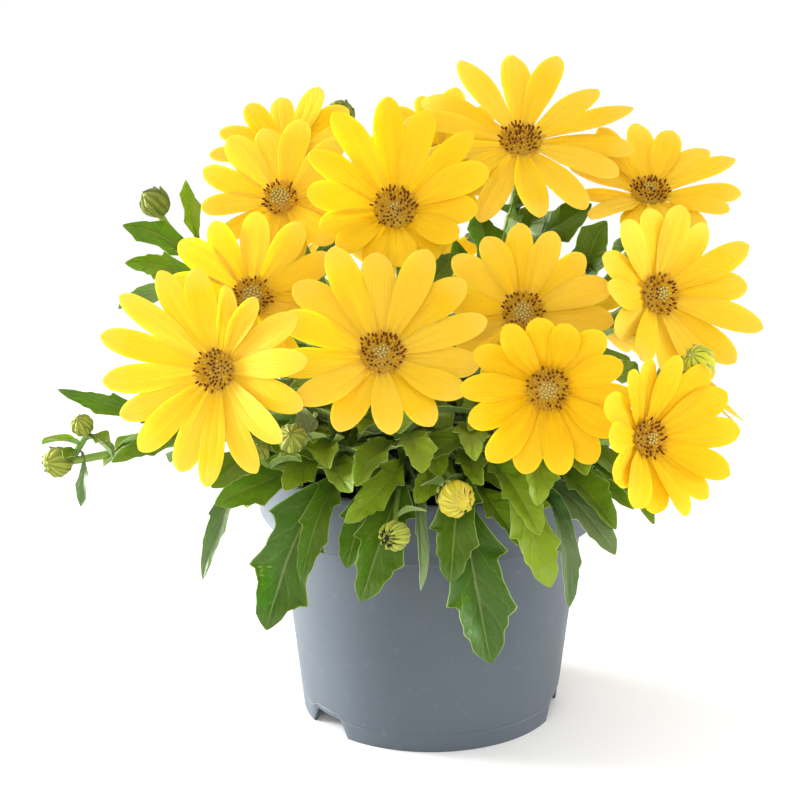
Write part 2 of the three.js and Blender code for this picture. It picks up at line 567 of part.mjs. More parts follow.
function makeSoil() {
  const low = POT.floorZ + POT.floorThick + SOIL.gap;
  const neck = POT.collarZ + POT.wall + SOIL.gap;
  const flare = (POT.rimRadius - POT.collarRadius) / (POT.height - POT.collarZ - 2);
  const wide = (z) => POT.collarRadius - POT.wall + flare * (z - neck);
  const profile = [
    [0, low], [potInner(low) - SOIL.gap - 0.3, low], [potInner(neck) - SOIL.gap - 0.3, neck],
    [wide(neck) - SOIL.gap - 0.4, neck], [wide(SOIL.top) - SOIL.gap - 0.4, SOIL.top - 0.6],
    [34, SOIL.top + 0.7 * SOIL.mound], [0, SOIL.top + SOIL.mound],
  ];
  let soil = lathe(profile, SOIL.sides);
  for (const stem of STEMS) {
    const r = STEM.low + HOLE_CLEAR;
    const hole = rod([ROOT_Z - 0.5, 100].map((z) => new THREE.Vector3(stem.foot[0], stem.foot[1], z)),
      [r, r], STEM.sides);
    soil = soil.subtract(hole);
  }
  return soil;
}

// ---- putting the plant together ----
const solids = new Map();
solids.set("pot", { solid: makePot(), look: ["#6b737c", 0.42] });
solids.set("soil", { solid: makeSoil(), look: ["#3a2a1e", 0.95] });
for (const b of BLOOMS) {
  solids.set(`bloom_${b.name}_petals`, { solid: bloomPetals(b), look: ["#f7c81c", 0.55] });
  solids.set(`bloom_${b.name}_disc`, { solid: bloomDisc(b), look: ["#8a5a22", 0.8] });
}
for (const bud of BUDS.filter((q) => q.yellow)) {
  const { out } = facing(bud.az, bud.el);
  const shape = YELLOW_SHAPE;
  const solid = rod(shape.map(([d]) => vec(bud.at).addScaledVector(out, d * bud.r)),
    shape.map(([, r]) => r * bud.r), 14, 0.86);
  solids.set("bud_yellow_petals", { solid, look: ["#e8c62a", 0.55] });
}

const placed = [];
const place = (node, solid, own) => placed.push({ node, solid, own, box: solid.boundingBox() });
for (const [name, { solid }] of solids) place(name, solid, false);
const shoots = new Map();
for (const stem of STEMS) {
  let solid = stemRod(stem);
  for (const bud of BUDS.filter((q) => q.stem === stem.name)) {
    solid = solid.add(budStalk(bud, stem)).add(budRod(bud));
  }
  shoots.set(stem.name, [solid]);
  place(stem.name, solid, true);
}

function isClear(node, solid) {
  const box = solid.boundingBox();
  return placed.every((q) => (q.own && q.node === node) || !boxesMeet(q.box, box)
    || q.solid.intersect(solid).isEmpty());
}

// Of several ways for a leaf to lie, the first that is clear of all else is the one it takes.
function growLeaf(node, ways) {
  for (const way of ways) {
    if (!isClear(node, leafRoom(way))) continue;
    const leaf = leafSolid(way);
    shoots.get(node).push(leaf);
    place(node, leaf, false);
    return;
  }
}

function* ownWays([, , bend, tip, width, look, outline], root) {
  const out = new THREE.Vector3(tip[0], tip[1], 0).normalize();
  for (const size of [1, 0.86, 0.72]) {
    for (const turn of [0, 16, -16, 32, -32]) {
      for (const lift of [0, 1, 2, 3, -1]) {
        const b = root.clone().lerp(vec(bend), mix(1, size, 0.6)).addScaledVector(out, 2 * lift);
        b.z += 3 * lift;
        const t = root.clone().lerp(vec(tip), mix(1, size, 0.6)).addScaledVector(out, 2 * lift);
        yield [root, b, t, width * size, look + turn, 0, outline];
      }
    }
  }
}

function* ruleWays(root, azimuth, lift, length, roll) {
  for (const size of LEAF_RULE.sizes) {
    for (const up of LEAF_RULE.lifts) {
      for (const round of LEAF_RULE.azimuths) {
        const a = rad(azimuth + round);
        const flat = new THREE.Vector3(Math.cos(a), Math.sin(a), 0);
        const way = (e) => flat.clone().multiplyScalar(Math.cos(e)).setZ(Math.sin(e));
        const l = length * size;
        const bend = root.clone().addScaledVector(way(rad(lift + up)), 0.5 * l);
        const tip = bend.clone().addScaledVector(way(rad(lift + up - LEAF_RULE.droop)), 0.5 * l);
        yield [root, bend, tip, l * LEAF_RULE.share, null, roll];
      }
    }
  }
}

for (const leaf of LEAVES) {
  const stem = STEMS.find((q) => q.name === leaf[0]);
  growLeaf(stem.name, ownWays(leaf, rootOn(stemCurve(stem).p, leaf[1])));
}
STEMS.forEach((stem, k) => {
  const draw = draws(300 + k);
  const { p, span } = stemCurve(stem);
  const spacing = LEAF_RULE.spacing * (stem.foot[1] > 8 ? 1.5 : 1);
  const total = Math.max(1, Math.floor((span - LEAF_RULE.stopBelow) / spacing));
  for (let i = 0; i < total; i++) {
    const share = i / total;
    const root = onStem(p, (0.05 + (i * spacing) / span) / 1.05);
    const azimuth = LEAF_RULE.golden * i + 71 * k + 40 * draw();
    const length = mix(LEAF_RULE.low, LEAF_RULE.high, share) * (0.85 + 0.3 * draw());
    const roll = LEAF_RULE.roll * (draw() - 0.5);
    growLeaf(stem.name, ruleWays(root, azimuth, mix(...LEAF_RULE.lift, share), length, roll));
  }
});
for (const [name, pieces] of shoots) {
  const solid = wasm.Manifold.union(pieces).asOriginal().simplify(0.09);
  solids.set(name, { solid, look: ["#55791c", 0.6] });
}

// The origin is the middle of the whole plant's box, at the foot of the pot.
const plant = new THREE.Group();
const box = new THREE.Box3();
for (const [name, { solid, look }] of solids) {
  const material = new THREE.MeshStandardMaterial({ color: look[0], roughness: look[1], metalness: 0 });
  const mesh = new THREE.Mesh(geometryOf(solid), material);
  mesh.name = name;
  box.expandByObject(mesh);
  plant.add(mesh);
}
const middle = box.getCenter(new THREE.Vector3());
plant.position.set(-middle.x, -middle.y, 0);

export default plant;
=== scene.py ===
"""A yellow osteospermum in its nursery pot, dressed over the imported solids.

Lengths are in millimetres from the foot of the pot's axis, until Mesh.make puts them into the row's frame.
"""

from math import atan2, cos, pi, radians, sin, sqrt
from types import SimpleNamespace as Sizes

import bpy
import numpy as np
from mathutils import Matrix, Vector, noise
from mathutils.geometry import tessellate_polygon
from mathutils.kdtree import KDTree


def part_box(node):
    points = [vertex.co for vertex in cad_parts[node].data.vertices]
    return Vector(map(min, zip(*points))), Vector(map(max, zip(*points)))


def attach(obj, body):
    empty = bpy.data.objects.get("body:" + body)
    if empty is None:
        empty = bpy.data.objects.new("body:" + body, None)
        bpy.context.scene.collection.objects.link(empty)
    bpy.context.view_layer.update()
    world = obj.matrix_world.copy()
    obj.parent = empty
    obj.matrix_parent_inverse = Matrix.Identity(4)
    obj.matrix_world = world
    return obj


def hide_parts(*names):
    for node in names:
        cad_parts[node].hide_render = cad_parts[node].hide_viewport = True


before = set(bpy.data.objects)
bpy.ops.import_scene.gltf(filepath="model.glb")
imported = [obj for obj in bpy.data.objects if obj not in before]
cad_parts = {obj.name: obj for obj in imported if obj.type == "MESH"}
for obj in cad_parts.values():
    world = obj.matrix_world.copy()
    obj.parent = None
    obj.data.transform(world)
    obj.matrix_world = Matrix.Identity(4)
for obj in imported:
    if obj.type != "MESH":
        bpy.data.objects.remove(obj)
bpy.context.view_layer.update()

# ---- the solids' own sizes and tables ----
POT = Sizes(height=102, rim=65.4, rimInner=64.1, collar=62.8, collarZ=78, neck=56.2, base=47.4, wall=1.3, floorZ=7,
            floorThick=1.4, notchHeight=6.6, notchTop=8.3, notchFoot=13, holeRadius=4, holeRing=27, holes=5)
NOTCHES = [-53, 78, 193]
ROOT_Z = 74
HUB_DEPTH, HUB_RIM, HUB_LAYER = 1.5, .3, .7
ARCH, LAYER_LIFT = 8, 2.2
PETAL_HALF = .16       # half the thickness of a petal in the scene
BROAD_TOPS, DEEP_BLOOMS = ("02",), ("06", "11", "12")
DISC_GAP = .3
CUP_GAP = .35
LEAF_THICK, LEAF_RAKE = 1.1, .12

# centre, the way it faces (azimuth, lift), petals, reach, width of a petal, radius of the disc, lift of the
# petals, turn, more reach upward, more reach to the sides, share of open florets
BLOOMS = {
    "01": ((-73.8, -82, 156.9), -22, 16, 16, 36, 10.2, 6.7, 18, 0, 0, .06, 1),
    "02": ((-17.5, -74, 160.7), 3, 44, 14, 36, 11.6, 7.3, 18, 0, .04, 0, .6),
    "03": ((-62.7, -42, 171.3), 10, 30, 12, 30, 11, 6.3, 16, 8, 0, 0, .45),
    "04": ((-54, -7.5, 197.4), -12, 42, 12, 28.5, 10.6, 5.8, 18, 4, 0, 0, .4),
    "05": ((-53.3, 36, 203.2), -15, 50, 12, 27, 10, 5.6, 14, 0, 0, 0, .5),
    "06": ((-13.1, -30, 199.7), 0, 38, 14, 31, 11, 7.3, 18, 6, .2, 0, .78),
    "07": ((32, 10, 214.7), 0, 60, 14, 41, 11.2, 7.4, 5, 5, 0, 0, 1),
    "08": ((78.3, 5, 197.1), 8, 66, 14, 31.5, 10.2, 6.6, 16, 0, 0, 0, .7),
    "09": ((31, -48, 167.3), 0, 31, 14, 29.5, 10.6, 6.9, 17, 3, 0, 0, .55),
    "10": ((78.8, -45, 172.6), 33, 24, 14, 31, 10.8, 6.7, 28, 6, -.08, 0, .6),
    "11": ((38.1, -86, 151.2), 0, 13, 14, 26, 10.6, 7, 26, 9, -.06, .12, .55),
    "12": ((71.8, -100, 139), 40, 20, 14, 26, 10.6, 6.1, 28, 2, 0, .2, .62),
    "13": ((4.6, 46, 198.5), 5, 45, 12, 27, 10.6, 5.6, 14, 0, 0, 0, .5),
    "14": ((-62, 66, 148), -138, 38, 12, 31, 11.4, 6.6, 15, 0, 0, 0, .5),
    "15": ((-2, 88, 140), 178, 36, 12, 32, 11.4, 6.6, 16, 5, 0, 0, .6),
    "16": ((60, 66, 132), 140, 42, 12, 31, 11.4, 6.6, 14, 9, 0, 0, .55),
    "17": ((94, 24, 124), 98, 34, 12, 28, 11.4, 6, 16, 2, 0, 0, .4),
    "18": ((-88, 22, 122), -108, 38, 12, 27, 11.4, 6, 16, 4, 0, 0, .5),
}

# petals that curl forward and show their pale edge: bloom, petal, how far
CURLED = {("01", 3): 1, ("01", 2): .8}

# foot, and where they aren't USUAL, how far a stem rises before it turns and how straight it ends; it ends
# in the bloom of its number, or in a bud of END_BUDS: centre, radius, direction
USUAL = (.4, .2)
STEMS = {
    "01": (-25, -32, .34, .03), "02": (-9, -34), "03": (-31, -18), "04": (-20, -7), "05": (-19, 10),
    "06": (-6, -19), "07": (11, 0, .4, .25), "08": (28, 2, .4, .25), "09": (9, -22), "10": (33, -15),
    "11": (12, -40, .4, .14), "12": (30, -34, .36, .14), "13": (-3, 18, .4, .25), "14": (-26, 29),
    "15": (-2, 38), "16": (23, 28), "17": (42, 8), "18": (-35, 18), "19": (-43, -10, .3, .12),
    "20": (-41, 4, .36, .2),
}
END_BUDS = {"19": ((-131.5, -50, 112.8), 5, -60, 6), "20": ((-99.3, 0, 193.6), 5, -40, 62)}

# side buds: stem, where the stalk leaves it, centre, radius, direction, how it looks
BUDS = [
    ("19", 114, (-122.9, -45, 124.8), 3.6, -30, 50, "green"),
    ("01", 106, (-48.3, -72, 129.3), 4.8, -5, 35, "green"),
    ("01", 100, (-59.8, -66, 122.1), 3, -20, 60, "green"),
    ("11", 98, (6.3, -84, 112.6), 5.4, 16, 12, "yellow"),
    ("02", 101, (-13.1, -86, 99), 4.7, 0, -12, "dark"),
    ("12", 110, (88.6, -82, 160), 5.3, 10, 78, "gold"),
    ("13", 150, (-34, 62, 211.5), 5.2, -10, 66, "green"),
]

# the way in which some buds open, where that isn't the way of their stalk
TURNED = {(-13.1, -86, 99): (-30, 8), (88.6, -82, 160): (-42, 38), (-131.5, -50, 112.8): (-34, 14),
          (-99.3, 0, 193.6): (-62, 42), (6.3, -84, 112.6): (26, 0)}

# leaves with a place of their own: stem, height of the root, bend, tip, width, the way the face looks, how
# light they are, from 0 to 1 (None is by chance), partly their own green and partly painted light and shade
# where they lie, and what else they are; the grey ones take a painted sheen
LEAVES = [
    ("01", 99, (-43, -68, 120), (-58, -77, 60), 25, -6, .04, "lobed"),
    ("11", 100, (4, -70, 117), (19, -77, 50), 25, 8, 0),
    ("12", 97, (44, -68, 111), (44, -78, 71), 10, 25, None, "grey"),
    ("01", 103, (-38, -76, 118), (-45, -88, 83), 12, 0, .08),
    ("02", 100, (-23, -70, 116), (-30, -79, 84), 15, -14, .15),
    ("02", 104, (-10, -74, 116), (-24, -88, 76), 20, 4, .12),
    ("11", 106, (8, -76, 122), (6, -87, 82), 18, 0, .12),
    ("12", 104, (26, -76, 118), (40, -91, 82), 19, 20, .78),
    ("12", 100, (44, -66, 114), (61, -84, 92), 14, 30, .3, "grey"),
    ("03", 104, (-52, -58, 116), (-76, -78, 107), 17, -16, .35),
    ("19", 108, (-62, -52, 122), (-75, -84, 116), 15, -10, .55),
    ("19", 102, (-70, -52, 122), (-80, -74, 78), 9, -30, .2, "grey"),
    ("01", 110, (-38, -66, 122), (-28, -88, 116), 15, 10, .7),
    ("02", 110, (-3, -80, 116), (-4, -89, 80), 7, 50, .7, "grey"),
    ("02", 112, (-8, -66, 118), (-30, -84, 103), 13, -12, .8),
    ("11", 103, (18, -66, 110), (30, -82, 94), 14, 10, .7),
    ("11", 112, (24, -70, 124), (36, -92, 102), 15, 16, .8),
    ("09", 112, (12, -62, 120), (16, -86, 118), 12, 0, .85),
    ("11", 116, (22, -66, 128), (34, -82, 123), 11, 20, .9),
    ("10", 102, (44, -54, 114), (60, -78, 100), 14, 20, .55),
    ("10", 106, (52, -48, 118), (74, -68, 98), 14, 40, .6),
    ("10", 110, (50, -44, 120), (69, -64, 110), 13, 30, .7),
    ("03", 108, (-44, -54, 122), (-52, -78, 112), 14, -6, .75),
    ("09", 106, (2, -56, 116), (-6, -78, 108), 13, 0, 1),
    ("19", 112, (-106, -40, 128), (-130, -52, 140), 9, -20, .2),
    ("19", 114, (-120, -44, 124), (-124, -50, 96), 6, -30, None, "grey"),
    ("19", 109, (-88, -40, 126), (-111, -62, 117), 10, -20, None),
    ("20", 160, (-92, -2, 184), (-110, -8, 187), 12, -10, .3),
    ("20", 152, (-92, -10, 176), (-108, -22, 177), 11, -10, .5),
    ("20", 144, (-94, -4, 172), (-112, -14, 158), 9, -10, None, "grey"),
    ("20", 168, (-86, 4, 188), (-88, 2, 201), 8, 0, None),
    ("07", 168, (34, -8, 182), (38, -14, 197), 15, 0, .2),
    ("08", 158, (50, -10, 172), (62, -10, 189), 17, -5, .3),
    ("08", 168, (66, -8, 174), (71, -16, 188), 15, 10, None),
    ("07", 158, (22, -6, 178), (15, -8, 194), 14, 0, None),
    ("07", 150, (14, -14, 168), (8, -18, 184), 14, 0, None),
    ("06", 158, (-2, -26, 168), (8, -26, 182), 13, 5, .3),
    ("04", 158, (-34, -18, 168), (-33, -34, 178), 15, 0, .3),
    ("03", 136, (-50, -42, 142), (-51, -54, 153), 16, 0, .5),
    ("03", 126, (-38, -44, 138), (-50, -58, 142), 14, 0, .6),
    ("06", 105, (-2, -42, 122), (2, -62, 114), 16, 0, .8),
    ("06", 117, (0, -36, 132), (6, -54, 126), 15, 0, .8),
    ("10", 98, (54, -44, 112), (70, -62, 100), 12, 30, .8),
    ("04", 104, (-30, -26, 122), (-38, -44, 118), 16, -8, .7),
    ("07", 108, (16, -16, 124), (20, -36, 118), 16, 5, .7),
    ("12", 113, (34, -62, 122), (33, -80, 110), 15, 8, .9),
    ("01", 114, (-40, -58, 128), (-36, -76, 120), 14, -5, .8),
    ("07", 172, (42, 0, 182), (57, -2, 193), 16, 0, .2),
    ("07", 178, (30, -8, 188), (26, -16, 200), 15, 0, .3),
    ("02", 116, (-20, -74, 130), (-26, -92, 120), 14, -10, .65),
    ("02", 120, (-6, -72, 134), (-4, -92, 124), 14, 5, .85),
    ("09", 118, (12, -68, 136), (14, -88, 127), 13, 0, .85),
]
# place along a leaf, half width on its one side and on its other
OUTLINES = {
    "lobed": [(0, .07, .07), (.28, .14, .16), (.46, .5, 1), (.54, .98, .64), (.6, .68, .66),
              (.69, .74, .94), (.78, 1, .58), (.85, .62, .48), (.93, .36, .38), (1, 0, 0)],
    "large": [(0, .07, .07), (.28, .14, .14), (.42, .44, .84), (.49, 1, .58), (.56, .64, .66),
              (.66, .76, .98), (.72, 1, .66), (.82, .66, .62), (.93, .46, .44), (1, 0, 0)],
    "middle": [(0, .08, .08), (.32, .22, .2), (.51, .94, .56), (.65, .64, 1), (.83, .78, .54),
               (1, 0, 0)],
    "small": [(0, .1, .1), (.32, .4, .36), (.62, 1, .9), (1, 0, 0)],
}
# the spiral rule for the other leaves
RULE = Sizes(spacing=7.8, backSpacing=1.5, stopBelow=22, golden=137.5, turn=71, low=48, high=27, share=.46,
             droop=52, roll=50, lift=(8, 40), azimuths=(0, 26, -26, 52, -52, 80, -80, 120, -120, 180),
             lifts=(0, 18, -18, 36), sizes=(1, .78))
# small leaves that only the scene has: how many, from which height, how far apart, how clear of the rest, and
# how high over the compost and the rim
YOUNG = Sizes(front=15, back=9, low=96, frontStep=2.6, backStep=4.2, onStalk=(.3, .5, .68, .84), longest=26,
              stalkLongest=18, share=.46, droop=50, roll=25, clear=1.5, lifts=(0, 15, -15, 30, 45),
              swings=(0, .5, -.5, 1, -1, 1.6, -1.6, 2.4, -2.4), soil=67, overSoil=93.5, rim=64, nearRim=4,
              overRim=103.5)
STEM = Sizes(low=2.1, high=1.35, steps=5, straightTo=94, cupLength=9, stalk=(1.3, 1))
CUP = [(0, .94), (4, .78), (9, .2)]      # depth, radius as a share of the disc's
# distance and radius as shares of the bud's radius
BUD_SHAPE = [(-1.15, .3), (-.8, .72), (-.1, 1), (.55, .8), (1, .3)]
YELLOW_SHAPE = [(-.04, .85), (.55, 1.12), (1.1, .9), (1.55, .3)]
# place along a petal or bract and its width there
PETAL_AT = [0, .06, .2, .4, .56, .7, .82, .9, .95, .985, 1]
PETAL_WIDTH = [.36, .42, .62, .88, .99, .99, .88, .71, .52, .28, .05]
BRACT_WIDTH = [.8, .94, 1, 1, .97, .9, .8, .66, .5, .3, .06]
# florets: distance and radius
OPEN_FLORET = [(-.3, .4), (.5, .4), (.8, .32), (1, .36), (1.9, .36), (2.2, .06)]
SHUT_FLORET = [(-.3, .4), (.35, .58), (.75, .56), (1.05, .34), (1.15, .05)]
SOIL_RADIUS, CRUMBS = 60.9, 1500
NEAR_TIP, NEAR_RIM = .3, .12    # how near a leaf here lies to its solid one, at its tip and its rim
FRONT = -1.57          # the azimuth of the front, in radians
SEED = Sizes(petal=5000, disc=900, hairs=60, ownLeaf=700, rule=300, leaf=2000, young=8000, youngLeaf=9000, crumbs=77)

# ---- small kit ----
low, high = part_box("pot")
AXIS = np.array([(low.x + high.x) / 2, (low.y + high.y) / 2, 0])    # the pot's axis in the row frame
UP = np.array([0, 0, 1])


def arr(*p):
    return np.array(p, float)


def unit(v):
    return v / np.linalg.norm(v, axis=-1, keepdims=True)


def mix(a, b, t):
    return a + (b - a) * t


def draws(seed):
    """Seeded draws, the same as in the part's own source."""
    state = (seed * 7919 + 13) % 2 ** 32

    def draw(least=0, most=1):
        nonlocal state
        state = (state * 1664525 + 1013904223) % 2 ** 32
        return mix(least, most, state / 2 ** 32)
    return draw


def facing(az, el):
    """Right, over and out axes of what faces an azimuth and a lift, in degrees."""
    a, e = radians(az), radians(el)
    out = arr(sin(a) * cos(e), -cos(a) * cos(e), sin(e))
    right = arr(cos(a), sin(a), 0)
    return right, np.cross(out, right), out


def spokes(right, over, angle):
    """Directions at the angles between two axes."""
    return right * np.cos(angle)[..., None] + over * np.sin(angle)[..., None]


def even(count):
    return np.linspace(0, 1, count)


def circle(count):
    return np.linspace(0, 2 * pi, count, endpoint=False)


def bezier(p, t):
    t = np.asarray(t, float)[..., None]
    u = 1 - t
    w = [u ** 3, 3 * u * u * t, 3 * u * t * t, t ** 3] if len(p) == 4 else [u * u, 2 * u * t, t * t]
    return sum(a * b for a, b in zip(w, p))


def soften(values, reach):
    return np.convolve(np.pad(values, reach, mode="edge"), np.ones(2 * reach + 1) / (2 * reach + 1), "valid")


def tree_of(points):
    tree = KDTree(len(points))
    for k, point in enumerate(points):
        tree.insert(Vector(point), k)
    tree.balance()
    return tree


def gap(tree, point):
    return tree.find(Vector(point))[2]


def place(name, data):
    item = bpy.data.objects.new(name, data)
    bpy.context.scene.collection.objects.link(item)
    return item


crowd = []      # points of what has grown so far, which the young leaves keep clear of


class Mesh:
    """Grids and small solids gathered into one mesh, with three numbers kept at each point."""

    def __init__(self):
        self.points, self.faces, self.kinds = [], [], []
        self.marks = {"along": [], "across": [], "tone": []}
        self.count = 0

    def add(self, points, faces, kind=0, **marks):
        points = np.asarray(points, float).reshape(-1, 3)
        self.points.append(points)
        self.faces.append(np.asarray(faces) + self.count)
        self.kinds.append(np.full(len(faces), kind))
        for name, store in self.marks.items():
            store.append(np.broadcast_to(np.asarray(marks.get(name, .5), float).reshape(-1), len(points)))
        self.count += len(points)

    def grid(self, points, kind=0, around=False, flip=False, **marks):
        rows, cols = points.shape[:2]
        i, j = np.meshgrid(np.arange(rows - 1), np.arange(cols if around else cols - 1), indexing="ij")
        after = (j + 1) % cols
        quads = np.stack([i * cols + j, i * cols + after, (i + 1) * cols + after, (i + 1) * cols + j], -1)
        quads = quads.reshape(-1, 4)
        full = {k: np.broadcast_to(v, (rows, cols)) for k, v in marks.items()}
        self.add(points, quads[:, ::-1] if flip else quads, kind, **full)

    def blade(self, top, bottom, kind=0, under=0, **marks):
        """A thin sheet with two faces and a closed rim."""
        full = {k: np.broadcast_to(v, top.shape[:2]) for k, v in marks.items()}
        self.grid(top, kind, **full)
        self.grid(bottom, under, flip=True, **full)
        for a, b, m in ((top, bottom, 0), (bottom, top, -1)):
            self.grid(np.stack([a[:, m], b[:, m]], 1), kind, flip=True, **{k: v[:, [m]] for k, v in full.items()})
        self.grid(np.stack([top[-1], bottom[-1]]), kind, **{k: v[[-1]] for k, v in full.items()})

    def make(self, name, materials, node, slot):
        points = np.concatenate(self.points) / 1000 + AXIS
        faces = [f for group in self.faces for f in group.tolist()]
        data = bpy.data.meshes.new(name)
        data.from_pydata(points.tolist(), [], faces)
        for mark, store in self.marks.items():
            layer = data.attributes.new(mark, "FLOAT", "POINT")
            layer.data.foreach_set("value", np.concatenate(store).astype(np.float32))
        for material in materials:
            data.materials.append(material)
        data.polygons.foreach_set("material_index", np.concatenate(self.kinds).astype(np.int32))
        data.polygons.foreach_set("use_smooth", np.ones(len(faces), bool))
        data.update()
        piece = place(name, data)
        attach(piece, "root")
        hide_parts(node)


def tint(colour, room=.84):
    """The shader's values for a grey, or for a colour written as #rrggbb, a little under the room's white."""
    if not isinstance(colour, str):
        return (colour,) * 3 + (1,)
    values = [int(colour[k:k + 2], 16) / 255 for k in (1, 3, 5)]
    return (*(room * (v / 12.92 if v <= .04045 else ((v + .055) / 1.055) ** 2.4) for v in values), 1)


class Look:
    """A principled material built from nodes; its skin is subsurface weight, scale and radius."""

    def __init__(self, name, roughness, level, skin=(), **sockets):
        self.material = bpy.data.materials.new(name)
        self.material.use_nodes = True
        self.tree = self.material.node_tree
        self.shader = self.tree.nodes["Principled BSDF"]
        self.set(Roughness=roughness, Specular_IOR_Level=level, **sockets)
        self.set(**{"Subsurface_" + key: value for key, value in zip(("Weight", "Scale", "Radius"), skin)})
        self.place = self.add("TexCoord", out="Object")

    def add(self, kind, out=0, settings=None, **sockets):
        node = self.tree.nodes.new("ShaderNode" + kind)
        for key, value in (settings or {}).items():
            setattr(node, key, value)
        for key, value in sockets.items():
            self.plug(node.inputs[int(key[1:]) if key[0] == "i" and key[1:].isdigit() else key], value)
        return node.outputs[out]

    def plug(self, socket, value):
        if isinstance(value, bpy.types.NodeSocket):
            self.tree.links.new(value, socket)
        else:
            socket.default_value = value

    def set(self, **sockets):
        for key, value in sockets.items():
            self.plug(self.shader.inputs[key.replace("_", " ")], value)
        return self.material

    def marks(self, *names):
        return [self.add("Attribute", out="Fac", settings={"attribute_name": name}) for name in names]

    def noise(self, scale, detail=3, rough=.55):
        return self.add("TexNoise", Vector=self.place, Scale=scale, Detail=detail, Roughness=rough)

    def maths(self, kind, a, b=0):
        return self.add("Math", settings={"operation": kind}, i0=a, i1=b)

    def times(self, a, share):
        return self.maths("MULTIPLY", a, share)

    def ramp(self, factor, *stops):
        """Greys or colours between stops of (place, colour)."""
        out = self.add("ValToRGB", i0=factor)
        ramp = out.node.color_ramp
        while len(ramp.elements) < len(stops):
            ramp.elements.new(.5)
        for element, (at, colour) in zip(ramp.elements, stops):
            element.position = at
            element.color = tint(colour)
        return out

    def step(self, factor, low, high, top=1):
        return self.ramp(factor, (low, 0), (high, top))

    def patches(self, scale, low, high, *kind):
        return self.step(self.noise(scale, *kind), low, high)

    def blend(self, factor, a, b, share=None):
        """From a to b by a factor, or by a share of it."""
        if share is not None:
            factor = self.times(factor, share)
        a, b = (v if isinstance(v, bpy.types.NodeSocket) else tint(v) for v in (a, b))
        return self.add("MixRGB", Fac=factor, Color1=a, Color2=b)

    def paint(self, colour, *coats):
        """A colour under coats of others, each (factor, colour, share of the factor)."""
        for factor, coat, *share in coats:
            colour = self.blend(factor, colour, coat, *share)
        return colour

    def bump(self, height, strength, distance, under=None):
        normal = {} if under is None else {"Normal": under}
        return self.add("Bump", Height=height, Strength=strength, Distance=distance, **normal)

    def finish(self, colour, *relief, **sockets):
        return self.set(Base_Color=colour, Normal=self.bump(*relief), **sockets)


# ---- materials ----
def petal_look(name, deep, main, light):
    m = Look(name, .55, .1, (.5, .002, (1, .8, .12)))
    along, across, tone = m.marks("along", "across", "tone")
    lines = m.maths("SINE", m.times(m.maths("ADD", across, m.times(m.noise(90, 2), .22)), 34))
    # painted light and shade: the ramp along a petal is painted light right at the disc, then turns deep a little way
    # out, painted shade where the petals lie close to the disc; the fold mask darkens the two creases along each
    # petal with painted shade; the fine lines are its veins
    fold = m.ramp(m.maths("ABSOLUTE", across), (0, 0), (.27, 0), (.36, 1), (.45, 0), (1, 0))
    colour = m.paint(m.ramp(along, (0, light), (.12, deep), (.3, main), (.7, main), (1, light)),
                     (m.patches(45, .3, .75, 2), light, .35), (tone, light, .5),
                     (fold, deep, .16), (m.step(lines, .55, 1), deep, .09))
    return m.finish(colour, m.noise(900, 2), .12, .0002, m.bump(lines, .18, .0002))


def leaf_look(name, dark, main, light, vein, under=False):
    m = Look(name, .46, .3, (.1, .0012, (.4, 1, .15)), Coat_Weight=.04, Coat_Roughness=.45)
    along, across, tone = m.marks("along", "across", "tone")
    side = m.maths("ABSOLUTE", across)
    slant = m.maths("SUBTRACT", along, m.times(side, .17))
    path = m.maths("ADD", slant, m.times(m.noise(120, 2), .12))
    cross = m.maths("ABSOLUTE", m.maths("SINE", m.times(path, 24)))
    centre = m.ramp(side, (0, 1), (.03, .7), (.06, 0))
    # the tone paints light and shade: a high tone blends towards the light green, partly young growth and partly
    # painted light, and a low tone darkens towards #355206, painted shade on leaves that lie in shade
    colour = m.paint(dark, (m.patches(70, .3, .7), main), (m.patches(420, .35, .7), main, .3),
                     (m.step(tone, .5, 1, .85), light), (m.ramp(tone, (0, .85), (.35, 0)), "#355206"),
                     (m.patches(1500, .62, .72, 2), vein, .16), (m.ramp(cross, (0, 1), (.14, 0)), vein, .13),
                     (centre, vein, .6 if under else .25), (m.step(side, .94, .99), vein, .7))
    puff = m.times(m.step(cross, 0, .6), -.7 if under else .7)
    return m.finish(colour, m.maths("ADD", puff, m.noise(450)), .4, .0005,
                    Roughness=m.ramp(m.noise(300, 2), (.3, .42), (.8, .6)))


def stalk_look():
    m = Look("stalk", .5, .4, (.08, .001))
    along, across = m.marks("along", "across")
    ribs = m.maths("SINE", m.times(across, 31.4))
    colour = m.paint(m.ramp(along, (0, "#4a5f2a"), (.35, "#5f8a2c"), (1, "#86a83e")),
                     (m.patches(80, .4, .75), "#6b4f3a", .35), (m.step(ribs, .2, 1), "#a9c267", .3))
    return m.finish(colour, m.maths("ADD", m.times(ribs, .5), m.noise(900)), .3, .0003)


def bract_look():
    m = Look("bract", .6, .18, (.12, .001), Sheen_Weight=.06, Sheen_Roughness=.5)
    along, across, tone = m.marks("along", "across", "tone")
    # painted light and shade across each bract: its middle ridge is lighter and the grooves towards its sides darker,
    # out to a pale margin of its own; along it, the foot, where the bracts overlap, is darkened with painted shade,
    # and the pale tip is its own
    rim = m.ramp(m.maths("ABSOLUTE", across), (0, "#97a238"), (.4, "#7c8a2c"), (.72, "#46571a"), (.93, "#8a9540"))
    colour = m.paint(rim, (m.ramp(along, (0, .6), (.4, 0)), "#4c611a"), (m.step(along, .5, 1, .5), "#b9bf4c"),
                     (tone, "#c0c656", .4), (m.step(tone, .9, 1, .75), "#d2ca20"),
                     (m.step(m.times(tone, -1), 0, .6, .62), "#3c561a"))
    return m.finish(colour, m.noise(1100), .4, .0003)


